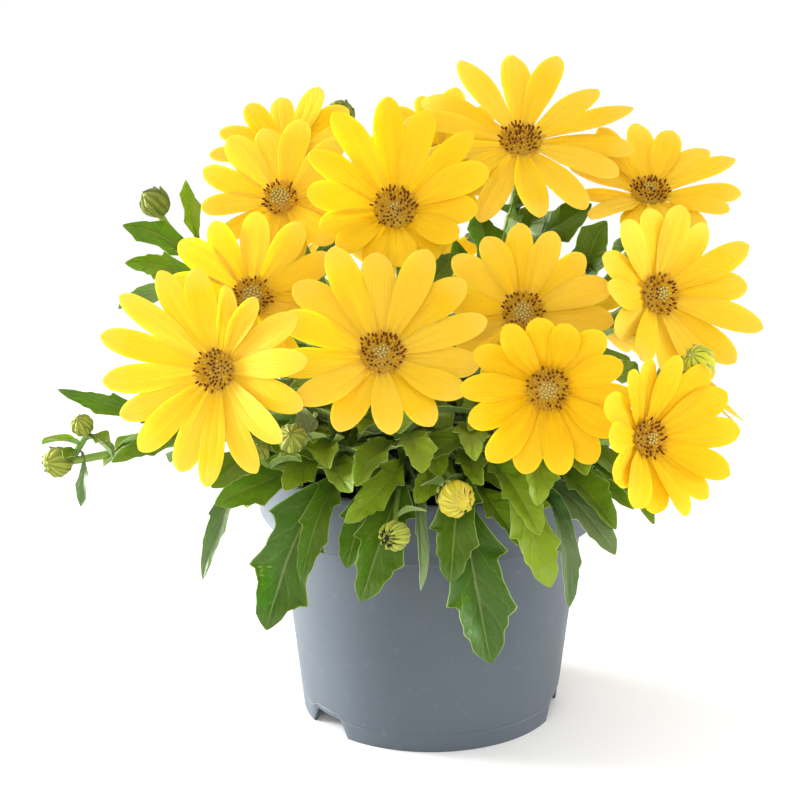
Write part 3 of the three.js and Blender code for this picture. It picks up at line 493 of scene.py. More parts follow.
def floret_look():
    m = Look("floret", .6, .12, (.1, .0005, (.9, .8, .3)))
    along, opened, tone = m.marks("along", "across", "tone")
    # painted shade: shut florets are darker towards their foot, in the gaps where they crowd
    shut = m.ramp(along, (0, "#9a7e2a"), (.45, "#c0a54a"), (1, "#d6bf70"))
    warm = m.ramp(m.noise(170, 2), (.35, "#dfae20"), (.7, "#f2cc34"))
    brown = m.ramp(tone, (.69, "#d8a428"), (.73, "#541e0c"), (1, "#864212"))
    tube = m.blend(m.step(along, .52, .62), warm, brown)
    colour = m.paint(shut, (m.step(opened, .85, .92), warm, .75), (m.step(tone, .45, .55), tube))
    return m.finish(colour, m.noise(2500, 2), .3, .0002)


def bud_petal_look():
    m = Look("bud_petal", .5, .3, (.15, .001))
    along, across = m.marks("along", "across")
    side = m.maths("ABSOLUTE", across)
    colour = m.paint(m.ramp(along, (0, "#87942c"), (.3, "#b9b02a"), (.7, "#ccbc26"), (1, "#c6b42a")),
                     (m.step(side, .6, 1, .5), "#ece08a"),
                     (m.ramp(side, (0, 1), (.07, .8), (.15, 0)), "#6a5e18", .6))
    return m.finish(colour, m.noise(900, 2), .3, .0003)


def dark_look():
    m = Look("bud_heart", .6, .3)
    grain = m.noise(900)
    return m.finish(m.ramp(grain, (.35, "#1a1c0c"), (.6, "#2e3416"), (.8, "#5e6a26")), grain, .8, .0006)


def pot_look():
    m = Look("pot_plastic", .4, .3)
    colour = m.paint("#4e565e", (m.patches(14, .3, .75), "#575f67"), (m.patches(220, .58, .8, 4, .7), "#9aa0a6", .12))
    height = m.add("SeparateXYZ", out=2, Vector=m.place)
    rings = m.times(m.maths("SINE", m.times(height, 5200)), .15)
    return m.finish(colour, m.maths("ADD", m.noise(2600, 2), rings), .1, .0002,
                    Roughness=m.ramp(m.noise(40, 4), (.3, .46), (.75, .58)))


def soil_look():
    m = Look("compost", .92, .25)
    crumb = m.noise(500, 5, .7)
    colour = m.blend(m.marks("tone")[0], m.ramp(crumb, (.3, "#150d08"), (.5, "#2d1e14"), (.75, "#56402c")), "#8a7a62")
    return m.finish(colour, crumb, .9, .001)


PETAL = petal_look("petal", "#eeb500", "#f1b900", "#f4c346")
PETAL_DEEP = petal_look("petal_deep", "#edae00", "#f1b500", "#f5be24")
LEAF = leaf_look("leaf", "#4d690b", "#6c8815", "#98b020", "#a8bb66")
# painted sheen: the grey-green leaves stand for leaves that catch a pale sheen of the room's light
LEAF_SHEEN_GREY = leaf_look("leaf_sheen_grey", "#5c7042", "#728654", "#90a26c", "#b0bc92")
LEAF_UNDER = leaf_look("leaf_under", "#64803f", "#7a964f", "#98af62", "#b9c88e", True)
FLORET, BUD_PETAL = floret_look(), bud_petal_look()
GREENS = [LEAF, LEAF_UNDER, stalk_look(), bract_look(), dark_look(), LEAF_SHEEN_GREY]
K_LEAF, K_UNDER, K_STALK, K_BRACT, K_DARK, K_SHEEN_GREY = range(6)


# ---- blooms ----
def bloom_petals(name):
    at, az, el, n, R, W, D, cup, turn, up, wide, _ = BLOOMS[name]
    draw = draws(int(name))
    right, over, out = facing(az, el)
    hub = arr(*at) - HUB_DEPTH * out
    mesh = Mesh()
    s = np.r_[np.linspace(0, .84, 13), .88, .92, .95, .972, .988, 1]
    u = np.array([-1, -.82, -.58, -.42, -.34, -.26, 0, .26, .34, .42, .58, .82, 1])
    fine = even(81)
    width = np.interp(s, fine, soften(np.interp(fine, PETAL_AT, PETAL_WIDTH), 2))
    width[-1] = PETAL_WIDTH[-1]
    for i in range(n):
        upper = i % 2 == 0
        theta = radians(turn + (i + .5) * 360 / n)
        reach = R * (1 + up * sin(theta) + wide * cos(theta) ** 2) * (1 + .14 * (draw() - .5))
        turned = theta + radians(6 * (draw() - .5))
        lift = cup + (LAYER_LIFT if upper else -LAYER_LIFT) + 1.2 * (draw() - .5)
        own = draws(SEED.petal + 40 * int(name) + i)
        curl = CURLED.get((name, i), 0)
        length = (reach - D - HUB_RIM) / cos(radians(lift)) * 1.03 * (1 - .2 * curl)
        bend, start = radians(-2 * ARCH), radians(lift + ARCH)
        slope = start + bend * s
        r = length * (np.sin(slope) - sin(start)) / bend
        h = -length * (np.cos(slope) - cos(start)) / bend
        tip = own(-2.4, 1.4) * np.clip((s - .55) / .45, 0, 1) ** 2
        ray = right * cos(theta) + over * sin(theta)
        along = right * cos(turned) + over * sin(turned)
        side = -right * sin(turned) + over * cos(turned)
        bow = own(-1, 1) * np.sin(pi * s)
        level = (-.5 if upper else -1.5) * HUB_LAYER
        middle = (hub + ray * (D + HUB_RIM) * cos(pi / n) * .97 + along * r[:, None]
                  + out * (level + h + tip + 6 * curl * s ** 3)[:, None] + side * bow[:, None])
        face = out * np.cos(slope)[:, None] - along * np.sin(slope)[:, None]
        twist = own(-.3, .3) * s + .9 * curl * s
        flat = side * np.cos(twist)[:, None] + face * np.sin(twist)[:, None]
        rise = face * np.cos(twist)[:, None] - side * np.sin(twist)[:, None]
        half = W / 2 * width * own(.92, 1.06) * (1 - .35 * curl)
        half *= 1 + .14 * max(0, sin(theta)) * (name in BROAD_TOPS)
        camber = own(-.35, 1.1) + 3 * curl
        fold = np.exp(-((np.abs(u) - .34) / .09) ** 2)
        height = (camber * (u ** 2 - .4) * np.sin(pi * np.clip(s, 0, .96))[:, None] * W / 10
                  + .9 * (u ** 2) * np.clip(1 - s / .35, 0, 1)[:, None]
                  - .28 * fold * np.clip(1.1 - s, 0, 1)[:, None]
                  + .22 * np.sin(9 * s + 6 * own())[:, None] * u ** 3)
        notch = .25 * np.exp(-((np.abs(u) - .3) / .12) ** 2) * np.clip((s - .92) / .08, 0, 1)[:, None]
        points = (middle[:, None] + flat[:, None] * (u * half[:, None])[..., None]
                  + rise[:, None] * height[..., None] - along * notch[..., None])
        crowd.append(points[::3, ::4].reshape(-1, 3))
        thin = PETAL_HALF * rise[:, None] * np.sqrt(np.clip(1.02 - np.abs(u) ** 4, .04, 1))[:, None]
        mesh.blade(points + thin, points - thin, along=s[:, None], across=u, tone=max(own(), curl))
    rim = spokes(right, over, circle(28))
    rows = [hub + radius * rim + out * z for radius, z in ((.5, -.1), (D - .7, -.1), (D + .2, -.5),
                                                           (D + .2, -1.1), (D - .9, -1.5), (.5, -1.5))]
    mesh.grid(np.array(rows), around=True, flip=True, along=.1, across=0, tone=0)
    mesh.make("petals_" + name, [PETAL_DEEP if name in DEEP_BLOOMS else PETAL], f"bloom_{name}_petals", "petals")


def lathe(mesh, at, axes, profile, sides, kind, ribs=0, depth=0, tone=.5):
    """A round form through (distance, radius) pairs, ribbed round its side."""
    right, over, out = axes
    profile = np.array(profile, float)
    a = circle(sides)
    wave = 1 - depth * np.abs(np.sin(ribs * a / 2)) ** .7 if ribs else np.ones(sides)
    points = at + out * profile[:, :1, None] + spokes(right, over, a) * (profile[:, 1:] * wave)[..., None]
    crowd.append(points[:, ::3].reshape(-1, 3))
    phase = ((a * ribs / (2 * pi)) % 1) * 2 - 1 if ribs else a / pi - 1
    mesh.grid(points, kind, around=True, along=even(len(profile))[:, None], across=phase, tone=tone)


def smooth(profile, steps):
    """More points on a curve through the given ones."""
    p = np.array(profile, float)
    p = np.vstack([2 * p[0] - p[1], p, 2 * p[-1] - p[-2]])
    found = []
    for k in range(1, len(p) - 2):
        for t in even(steps + 1)[:-1]:
            a, b, c, d = p[k - 1:k + 3]
            found.append(.5 * (2 * b + (c - a) * t + (2 * a - 5 * b + 4 * c - d) * t ** 2
                                + (3 * b - a - 3 * c + d) * t ** 3))
    return np.array(found + [p[-2]])


def bloom_disc(name):
    at, az, el, _, _, _, D, *_, opened = BLOOMS[name]
    right, over, out = facing(az, el)
    foot = arr(*at) - (HUB_DEPTH - DISC_GAP) * out
    draw = draws(SEED.disc + int(name))
    mesh = Mesh()
    dome = lambda r: 1.9 * (1 - (r / (1.1 * D)) ** 2)
    radii = [D - .1, D - .6, D - 1.4, 4.2, 2.6, 1.2, .2]
    lathe(mesh, foot, (right, over, out), [(0, D - .3)] + [(dome(r) - .2, r) for r in radii], 24, 0, tone=.48)
    total = round(2.1 * D * D)
    for k in range(total):
        share = sqrt((k + .6) / total)
        r = (D - .6) * share
        a = radians(137.508 * k)
        ray = right * cos(a) + over * sin(a)
        is_open = share > 1 - opened - .1 * (draw() - .5)
        lean = (.95 if is_open else .5) * share ** 1.5 + .36 * (draw() - .5)
        axis = out * cos(lean) + ray * sin(lean)
        side = unit(np.cross(axis, out + .3 * over))
        spoke = spokes(side, np.cross(axis, side), circle(5) + a)
        shape = OPEN_FLORET if is_open else SHUT_FLORET
        tall = draw(.8, 1.3) if is_open else draw(.75, 1) * mix(.8, 1.1, share)
        base = foot + ray * r + out * dome(r)
        rows = np.array([base + axis * z * tall + spoke * w for z, w in shape])
        tone = draw(0, .3)
        if is_open:
            tone = draw(.74, 1) if draw() < .55 else draw(.58, .67)
        mesh.grid(rows, around=True, along=even(len(shape))[:, None], across=opened, tone=tone)
    mesh.make("florets_" + name, [FLORET], f"bloom_{name}_disc", "disc")


# ---- buds, cups and bracts ----
def bracts(mesh, at, axes, profile, count, width, turn, kind, tone, lift=.25, wild=0, spiral=0,
           hook=0, seed=1, keel=0, plain=False):
    """Narrow pointed scales that follow a profile of (distance, radius) pairs."""
    right, over, out = axes
    draw = draws(seed)
    line = np.array(profile, float)
    marks = even(len(line))
    shape = np.array(BRACT_WIDTH)
    t = even(len(shape))
    u = np.array([-1, -.6, -.2, 0, .2, .6, 1])
    if plain:
        shape, t, u = shape[::2], t[::2], u[[0, 2, 4, 6]]
    for k in range(count):
        run = t * (1 - wild * draw())
        d, r = np.interp(run, marks, line[:, 0]), np.interp(run, marks, line[:, 1])
        a = 2 * pi * k / count + turn + wild * (draw() - .5) + spiral * t * (1 + wild * (draw() - .5))
        half = width / 2 * shape * (1 + .5 * wild * (draw() - .5))
        angle = a[:, None] + u * half[:, None] / np.maximum(r, .35 * r.max())[:, None]
        out_turn = hook * (.5 + draw()) * np.clip((t - .72) / .28, 0, 1) ** 2
        radius = r[:, None] + lift * (1 - .8 * u ** 2) + keel * (1 - np.abs(u)) + out_turn[:, None]
        spoke = spokes(right, over, angle)
        points = at + out * d[:, None, None] + spoke * radius[..., None]
        shade = tone + .3 * (draw() - .5)
        mesh.grid(points, kind, along=t[:, None], across=u, tone=shade, flip=True)
        mesh.grid(points - spoke * .22, kind, along=t[:, None], across=u, tone=shade)


def hairs(mesh, roots, ways, long, draw):
    """Fine three-sided hairs, each on a root and along its way."""
    for root, way in zip(roots, ways):
        way = unit(way + .5 * (arr(draw(), draw(), draw()) - .5))
        side = unit(np.cross(way, arr(.3, .2, 1)))
        foot = root - way * .1 + .04 * spokes(side, np.cross(way, side), circle(3))
        mesh.add(np.vstack([foot, [root + way * long * (.5 + draw())]]), [(0, 1, 3), (1, 2, 3), (2, 0, 3)],
                 K_BRACT, along=.9, across=.9, tone=.9)


def bud(mesh, at, radius, az, el, style):
    """A bud's body with rows of bracts over it, and short hairs."""
    axes = facing(*TURNED.get(at, (az, el)))
    centre, seed = arr(*at), int(abs(at[0]) * 10)
    draw = draws(seed)
    scale = lambda shape: [(d * radius, r * radius) for d, r in shape]
    body = smooth(scale(BUD_SHAPE[:3] + [(.2, .8)] if style == "yellow" else BUD_SHAPE), 4)
    core = [(d, r * .92) for d, r in body]
    core.append((core[-1][0] + (.2 if style in ("green", "gold") else -.6), .05))
    lathe(mesh, centre, axes, core, 44, K_DARK if style == "dark" else K_BRACT, 11, .14,
          -.3 if style == "green" else .2)
    ending = lambda line, d, r: np.vstack([line, [[d * radius, r * radius]]])
    tops = scale([(-1.15, .3), (-.8, .72), (-.1, 1), (.5, .92), (.95, .7), (1.2, .34)])
    heart = scale([(.5, .2), (.8, .42), (1.1, .3), (1.25, .16)])
    deep = -.6 if at[2] > 150 else 0
    # profile, count, width as a share of the radius, turn, tone, lift, wild, spiral, hook, keel
    rows = {
        "green": [(ending(body, 1.14, .1), 9, .8, .45, .1 + deep, .08, .05, .25, 0, .35),
                  (body, 10, .56, .1, .15 + deep, .14, .35, .2, .14 * radius, .5)],
        "gold": [(ending(body, 1.12, .1), 9, .8, .1, 1.15, .1, .1, .5, 0, .5),
                 (body[:-2], 9, .5, .4, .75, .3, .4, .1, .2 * radius, .3)],
        "dark": [(tops, 12, .5, 0, .9, .3, .25, .3, .2, .5),
                 (tops, 11, .46, .3, .65, .12, .35, .1, .2, .5),
                 (heart, 9, .24, .2, .3, .1, .3, .4, .1, .4)],
        "yellow": [(ending(body[:-1], .25, 1.1), 12, .56, .1, .8, .25, .3, .1, .3, .1)],
    }[style]
    for k, (profile, count, width, turn, *how, keel) in enumerate(rows):
        bracts(mesh, centre, axes, profile, count, radius * width, turn, K_BRACT, *how, seed + k, keel)
    many = 240 if style == "dark" else 90
    around = np.array([6.28 * draw() for _ in range(many)])
    share = np.array([draw() for _ in range(many)])
    marks = even(len(body))
    d, r = np.interp(share, marks, body[:, 0]), np.interp(share, marks, body[:, 1])
    spoke = spokes(*axes[:2], around)
    hairs(mesh, centre + axes[2] * d[:, None] + spoke * (r + .3)[:, None], spoke, .5, draw)


def yellow_bud():
    """The folded petals of the half-open bud."""
    at, radius = next(item[2:4] for item in BUDS if item[-1] == "yellow")
    axes = facing(*TURNED[at])
    mesh = Mesh()
    shape = smooth([(d * radius, r * radius) for d, r in YELLOW_SHAPE], 5)
    core = [(d, r * .93) for d, r in shape] + [(shape[-1][0] + .2, .05)]
    lathe(mesh, arr(*at), axes, core, 64, 0, 14, .12)
    bracts(mesh, arr(*at), axes, shape, 11, radius * .7, .11, 0, .5, .1, .2, .3, 0, 7, .5)
    bracts(mesh, arr(*at), axes, shape[:-2], 8, radius * .66, .5, 0, .8, .35, .3, .35, .1, 9, .4)
    mesh.make("yellow_bud_petals", [BUD_PETAL], "bud_yellow_petals", "petals")


# ---- stems ----
def stem_curve(name):
    """The line of a stem, the axes of what it carries, and the distance from its foot."""
    x, y, *own = STEMS[name]
    rise, arrive = own or USUAL
    if name in END_BUDS:
        at, below, az, el = END_BUDS[name]
    else:
        at, az, el = BLOOMS[name][:3]
        below = HUB_DEPTH + 2 * HUB_LAYER + CUP_GAP + STEM.cupLength
    axes = facing(az, el)
    end = arr(*at) - axes[2] * below
    start = arr(x, y, STEM.straightTo)
    span = float(np.linalg.norm(end - start))
    return [start, start + UP * rise * span, end - axes[2] * arrive * span, end], axes, span


def on_stem(p, t):
    """The solid stem is made of straight steps, and its leaves stand on these."""
    k = min(int(t * STEM.steps), STEM.steps - 1)
    return mix(bezier(p, k / STEM.steps), bezier(p, (k + 1) / STEM.steps), t * STEM.steps - k)


def root_on(p, z):
    t = 0
    while t < .995 and on_stem(p, t)[2] < z:
        t += .005
    return on_stem(p, t)


def tube(mesh, points, radii, sides=10):
    ahead = unit(np.gradient(points, axis=0))
    side = arr(1, 0, 0)
    rings = []
    a = circle(sides)
    for at, way, r in zip(points, ahead, radii):
        side = unit(side - way * side.dot(way))
        rings.append(at + r * spokes(side, np.cross(way, side), a))
    rings = np.array(rings)
    for part in (0, .25, .5, .75):
        crowd.append(mix(rings[:-1], rings[1:], part)[:, ::2].reshape(-1, 3))
    mesh.grid(rings, K_STALK, around=True, along=even(len(points))[:, None], across=a / pi - 1)


def stem_shaft(mesh, name):
    """A stem, its hairs, and the cup or bud at its end."""
    p, axes, _ = stem_curve(name)
    t = even(26)
    tube(mesh, np.vstack([[*STEMS[name][:2], ROOT_Z], bezier(p, t)]),
         np.r_[STEM.low, mix(STEM.low, STEM.high, t)])
    draw = draws(SEED.hairs + int(name))
    shares = np.array([.15 + .83 * draw() for _ in range(240)])
    ways = unit(np.array([[draw() - .5, draw() - .5, draw() - .5] for _ in shares]) + 1e-6)
    hairs(mesh, bezier(p, shares) + ways * mix(STEM.low, STEM.high, shares)[:, None] * .95, ways, .6, draw)
    if name in END_BUDS:
        bud(mesh, *END_BUDS[name], "green")
        return
    top = p[-1] + axes[2] * STEM.cupLength
    D = BLOOMS[name][6]
    cup = smooth([(-d, r * D) for d, r in reversed(CUP)], 5)
    lathe(mesh, top, axes, [(d, r * .94) for d, r in cup] + [(.1, .2)], 36, K_BRACT, 12, .08, .3)
    bracts(mesh, top, axes, np.vstack([cup, [[.6, D + .3]]]), 13, 3.3, 0, K_BRACT, .35, plain=True)
    bracts(mesh, top, axes, cup[:-2], 11, 3.2, .25, K_BRACT, .2, .5, plain=True)


def stalk_line(item):
    stem, z, at, radius, az, el, _ = item
    start = root_on(stem_curve(stem)[0], z)
    out = facing(az, el)[2]
    end = arr(*at) - out * radius
    span = float(np.linalg.norm(end - start))
    middle = start + arr(end[0] - start[0], end[1] - start[1], 0) * .35 + UP * .3 * span
    return [start, middle, end - out * .25 * span, end]


def bud_stalk(mesh, item):
    t = even(14)
    tube(mesh, bezier(stalk_line(item), t), mix(*STEM.stalk, t), 8)
    bud(mesh, *item[2:])


# ---- leaves ----
# a leaf's way: root, bend, tip, width, where its face looks (None is up), roll, what else it is
def leaf_frame(way, s):
    """Middle line, sideways and face directions of a leaf at the parameters s of its line."""
    root, bend, tip, _, look, roll = way[:6]
    s = np.atleast_1d(s)[:, None]
    ahead = unit((bend - root) * (1 - s) + (tip - bend) * s)
    want = UP + 0 * s if look is None else UP * (1 - s) + facing(look, 0)[2] * s
    side = unit(np.cross(want, ahead))
    a = radians(roll)
    side = side * cos(a) + np.cross(ahead, side) * sin(a)
    return bezier([root, bend, tip], s[:, 0]), side, np.cross(ahead, side)


def leaf_kind(way):
    if "lobed" in way[6:]:
        return "lobed"
    root, bend, tip = way[:3]
    length = np.linalg.norm(bend - root) + np.linalg.norm(tip - bend)
    return "large" if length > 50 else "middle" if length > 31 else "small"


def line_share(way, share):
    """The parameter of a leaf's bent line at a share of its length."""
    t = even(17)
    line = bezier(way[:3], t)
    marks = np.r_[0, np.cumsum(np.linalg.norm(np.diff(line, axis=0), axis=1))]
    return np.interp(np.asarray(share) * marks[-1], marks, t)


def leaf_rim(way, place, share, sign):
    """The rim of a leaf, whose teeth lean forward."""
    lean = np.minimum(1, place + LEAF_RAKE * np.maximum(0, share - .5))
    at, side, face = leaf_frame(way, line_share(way, lean))
    return at + side * (sign * share * way[3] / 2)[:, None], face


def leaf_corners(way):
    outline = np.array(OUTLINES[leaf_kind(way)])[1:-1]
    rims = [leaf_rim(way, outline[:, 0], outline[:, k], sign) for k, sign in ((1, 1), (2, -1))]
    return np.concatenate([at + face * .3 * LEAF_THICK for at, face in rims])


def toothed(at, width, t):
    """Half width along one side: points rise to sharp teeth and fall to round bays."""
    last = len(at) - 2
    k = np.minimum(np.searchsorted(at, t, side="right") - 1, last)
    f, a, b = (t - at[k]) / (at[k + 1] - at[k]), width[k], width[k + 1]
    bay = b + (a - b) * np.maximum(0, 1 - f) ** np.where(k == last, .72, 1.7)
    return np.where((b > a) & (k < last), a + (b - a) * f ** 1.9, bay)


def leaf(mesh, way, seed, tone=None, grey=False):
    draw = draws(seed)
    width, kind = way[3], leaf_kind(way)
    outline = np.array(OUTLINES[kind])
    rows = {"lobed": 44, "large": 44, "middle": 26, "small": 17}[kind]
    t = np.unique(np.round(np.r_[even(rows), outline[:, 0], .98, .994], 4))
    dense = even(241)
    small = .045 * np.abs(np.sin(dense * rows * .9)) ** 2 * np.clip((dense - .3) * 4, 0, 1)
    small *= np.clip((.97 - dense) * 6, 0, 1)
    sides = []
    for k in (1, 2):
        rim = toothed(outline[:, 0], outline[:, k], dense)
        soft = soften(rim, {"small": 5, "middle": 2}.get(kind, 1))
        sides.append(np.interp(t, dense, np.where(dense > .96, rim, soft) + small))
    fold = draw(.05, .26)
    wave, phase = draw(.03, .1), 6.3 * draw()
    tone = .85 * draw() if tone is None else tone
    curl = draw(-.06, .09)
    middle, _, face = leaf_frame(way, line_share(way, t))
    v = np.array([0, .07, .3, .62, .9, 1])
    half = []
    for sign, w in zip((1, -1), sides):
        edge, rise = leaf_rim(way, t, w, sign)
        height = (width * (fold * v ** 1.3 + wave * np.sin(9 * t + phase + sign)[:, None] * v ** 2)
                  * np.clip(4 * w, 0, 1)[:, None] - .25 * np.exp(-(v / .06) ** 2)
                  + .2 * np.sin(24 * (t[:, None] - .17 * v)) * np.sin(pi * v))
        height += width * curl * (np.clip(t - .6, 0, 1) / .4)[:, None] ** 2
        height *= np.clip(8 * (1 - t), 0, 1)[:, None]
        points = middle[:, None] * (1 - v[:, None]) + edge[:, None] * v[:, None]
        half.append(points + rise[:, None] * (height - width * fold * .4)[..., None])
    sheet = np.concatenate([half[1][:, :0:-1], half[0]], 1)
    crowd.append(sheet[::2].reshape(-1, 3))
    across = np.r_[-v[:0:-1], v]
    down = .1 + .5 * np.exp(-(across / .1) ** 2) * np.clip(1.1 - t, 0, 1)[:, None]
    mesh.blade(sheet + face[:, None] * .1, sheet - face[:, None] * down[..., None],
               K_SHEEN_GREY if grey else K_LEAF, K_UNDER, along=t[:, None], across=across, tone=tone)


def own_ways(item, root):
    """The ways that a leaf of LEAVES may lie in: its own first, then turned, lifted and smaller."""
    _, _, bend, tip, width, look, _, *kind = item
    out = unit(arr(tip[0], tip[1], 0))
    for size in (1, .86, .72):
        part = mix(1, size, .6)
        for turn in (0, 16, -16, 32, -32):
            for lift in (0, 1, 2, 3, -1):
                yield (root, mix(root, arr(*bend), part) + out * 2 * lift + UP * 3 * lift,
                       mix(root, arr(*tip), part) + out * 2 * lift, width * size, look + turn, 0, *kind)


def bent(root, azimuth, lift, droop, length):
    """Root, bend and tip of a leaf that starts at an azimuth, in radians, and a lift, in degrees."""
    line = [root]
    for e in (radians(lift), radians(lift - droop)):
        line.append(line[-1] + .5 * length * arr(cos(azimuth) * cos(e), sin(azimuth) * cos(e), sin(e)))
    return line


def rule_ways(root, azimuth, lift, length, roll):
    for long in (length * size for size in RULE.sizes):
        for up in RULE.lifts:
            for swing in RULE.azimuths:
                line = bent(root, radians(azimuth + swing), lift + up, RULE.droop, long)
                yield *line, long * RULE.share, None, roll


trees = {name: tree_of([(np.array(v.co) - AXIS) * 1000 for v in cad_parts["stem_" + name].data.vertices])
         for name in STEMS}


def grown(name, ways):
    """The way in which this leaf lies on its solid stem, or None where it has no room there."""
    best, found = NEAR_RIM, None
    for way in ways:
        if gap(trees[name], way[2]) > NEAR_TIP:
            continue
        gaps = sorted(gap(trees[name], corner) for corner in leaf_corners(way))
        worst = gaps[int(len(gaps) * .7)]
        if worst < best:
            best, found = worst, way
    return found


def leaves_of(mesh, name):
    p, _, span = stem_curve(name)
    k = int(name) - 1
    for j, item in enumerate(LEAVES):
        if item[0] == name:
            way = grown(name, own_ways(item, root_on(p, item[1])))
            if way:
                leaf(mesh, way, SEED.ownLeaf + j, item[6], "grey" in item)
    draw = draws(SEED.rule + k)
    spacing = RULE.spacing * (RULE.backSpacing if STEMS[name][1] > 8 else 1)
    total = max(1, int((span - RULE.stopBelow) // spacing))
    for i in range(total):
        share = i / total
        root = on_stem(p, (.05 + i * spacing / span) / 1.05)
        azimuth = RULE.golden * i + RULE.turn * k + 40 * draw()
        length = mix(RULE.low, RULE.high, share) * (.85 + .3 * draw())
        roll = RULE.roll * (draw() - .5)
        way = grown(name, rule_ways(root, azimuth, mix(*RULE.lift, share), length, roll))
        if way:
            # painted light and shade: leaves at the front, turned to the light, get a lighter tone than the shaded
            # ones
            seed, lit = SEED.leaf + 40 * k + i, way[2][1] < -10 and way[2][2] > 96
            leaf(mesh, way, seed, draws(seed)(*((.5, 1) if lit else (.3, .85))))


def has_room(way, tree):
    """Whether a young leaf is clear of the compost, the pot's rim and what has grown."""
    at, side, _ = leaf_frame(way, np.array([.3, .4, .5, .6, .7, .8, .9, 1]))
    wide = way[3] * np.array([.2, .3, .4, .45, .46, .4, .25, 0])[:, None]
    test = np.vstack([at + side * wide * part for part in (-1, -.5, 0, .5, 1)])
    z, away = test[:, 2], np.hypot(test[:, 0], test[:, 1])
    in_soil = (z < YOUNG.overSoil) & (away < YOUNG.soil)
    if np.any(in_soil | (z < YOUNG.overRim) & (np.abs(away - YOUNG.rim) < YOUNG.nearRim)):
        return False
    return all(gap(tree, point) > YOUNG.clear for point in test)


def young_leaves(mesh, name, tree):
    """Small leaves low on a stem and on its stalks, each where it has room."""
    p = stem_curve(name)[0]
    k = int(name) - 1
    draw = draws(SEED.young + k)
    x, y = STEMS[name][:2]
    front = y < 0
    starts = [(bezier(stalk_line(item), t), FRONT, YOUNG.stalkLongest)
              for item in BUDS if item[0] == name for t in YOUNG.onStalk]
    for i in range(YOUNG.front if front else YOUNG.back):
        height = YOUNG.low + (YOUNG.frontStep if front else YOUNG.backStep) * i + 3 * draw()
        if height < p[-1][2] - 14:
            starts.append((root_on(p, height), FRONT if front and i % 2 else atan2(y, x), YOUNG.longest))
    for i, (root, azimuth, longest) in enumerate(starts):
        azimuth += 2.4 * (draw() - .5)
        lift, size = draw(0, 50), draw(.54, 1) * longest
        # a few young leaves, at random, take the grey-green painted sheen
        tone, grey = draw(.45, 1), draw() > .85
        ways = ((*bent(root, azimuth + swing, lift + up, YOUNG.droop, size), size * YOUNG.share, None,
                 YOUNG.roll * (i % 3 - 1)) for swing in YOUNG.swings for up in YOUNG.lifts)
        way = next((way for way in ways if has_room(way, tree)), None)
        if way:
            leaf(mesh, way, SEED.youngLeaf + 20 * k + i, tone, grey)


# ---- pot and compost ----
def make_pot():
    mesh = Mesh()
    base, neck, collar, rim, wall = POT.base, POT.neck, POT.collar, POT.rim, POT.wall
    c, top, low, high = POT.collarZ, POT.height, POT.floorZ, POT.floorZ + POT.floorThick
    inner = lambda z: mix(base - wall, neck - wall, z / c)
    marks = [m + q * f for m in NOTCHES for q in (-1, 1) for f in (POT.notchTop, POT.notchFoot)]
    corners = [(m + 180) % 360 - 180 for m in marks]
    degrees = np.unique(np.round(np.r_[-180:180:2, corners], 3))
    a = np.radians(degrees)
    spoke = np.stack([np.sin(a), -np.cos(a), 0 * a], -1)
    floor = np.zeros(len(a))
    for m in NOTCHES:
        off = np.abs((degrees - m + 180) % 360 - 180)
        floor = np.maximum(floor, np.interp(off, [POT.notchTop, POT.notchFoot], [POT.notchHeight, 0]))
    slope = (neck - base) / c
    groove = {6.8: .22, 7.1: .22}
    outer = [(base - .35, 0), (base - .08, .12), (base, .4)]
    outer += [(base + slope * z - groove.get(z, 0), z)
              for z in (3, 6.2, 6.5, 6.8, 7.1, 7.4, 7.8, 12, 25, 40, 55, 68, 76)]
    outer += [(neck - .05, c - .5), (neck + .4, c), (neck + 1, c + .1), (collar - 1.3, c), (collar - .5, c + .05),
              (collar + .1, c + .4), (collar + .4, c + .9), (collar + .36, c + 1.5), (collar + .05, c + 2.2),
              (mix(collar, rim, .3), c + 8), (mix(collar, rim, .7), c + 17), (rim - .35, c + 21), (rim, c + 21.6),
              (rim, top - .7), (rim - .25, top - .15), (rim - .6, top), (POT.rimInner + .3, top)]
    inside = [(POT.rimInner, top - .4), (collar - wall, c + 2), (collar - wall - .7, c + 1.3), (neck - wall, c + 1.3),
              (inner(c - 1), c - 1), (inner(40), 40), (inner(12), 12), (inner(8.4) - .3, 8.4)]
    under = [(inner(7) - .3, 6.9), (inner(3), 3), (inner(0) + .2, .15), (base - .35, 0)]
    for profile in (outer + inside, under):
        rows = [spoke * r + UP * (z + floor * np.clip(1 - z / 10, 0, 1))[:, None] for r, z in profile]
        mesh.grid(np.array(rows), around=True)
    loops = [[Vector((*(inner(8) * s[:2]), 0)) for s in spoke]]
    for k in range(POT.holes):
        h = radians(36 + 72 * k)
        x, y = POT.holeRing * sin(h), -POT.holeRing * cos(h)
        ring = np.array([[x + POT.holeRadius * cos(q), y + POT.holeRadius * sin(q), 0] for q in circle(24)[::-1]])
        loops.append([Vector(point) for point in ring])
        mesh.grid(np.array([ring + UP * low, ring + UP * high]), around=True)
    flat = np.array([list(v) for loop in loops for v in loop])
    faces = tessellate_polygon(loops)
    mesh.add(flat + UP * high, faces)
    mesh.add(flat + UP * low, [f[::-1] for f in faces])
    mesh.make("pot_shell", [pot_look()], "pot", "pot")


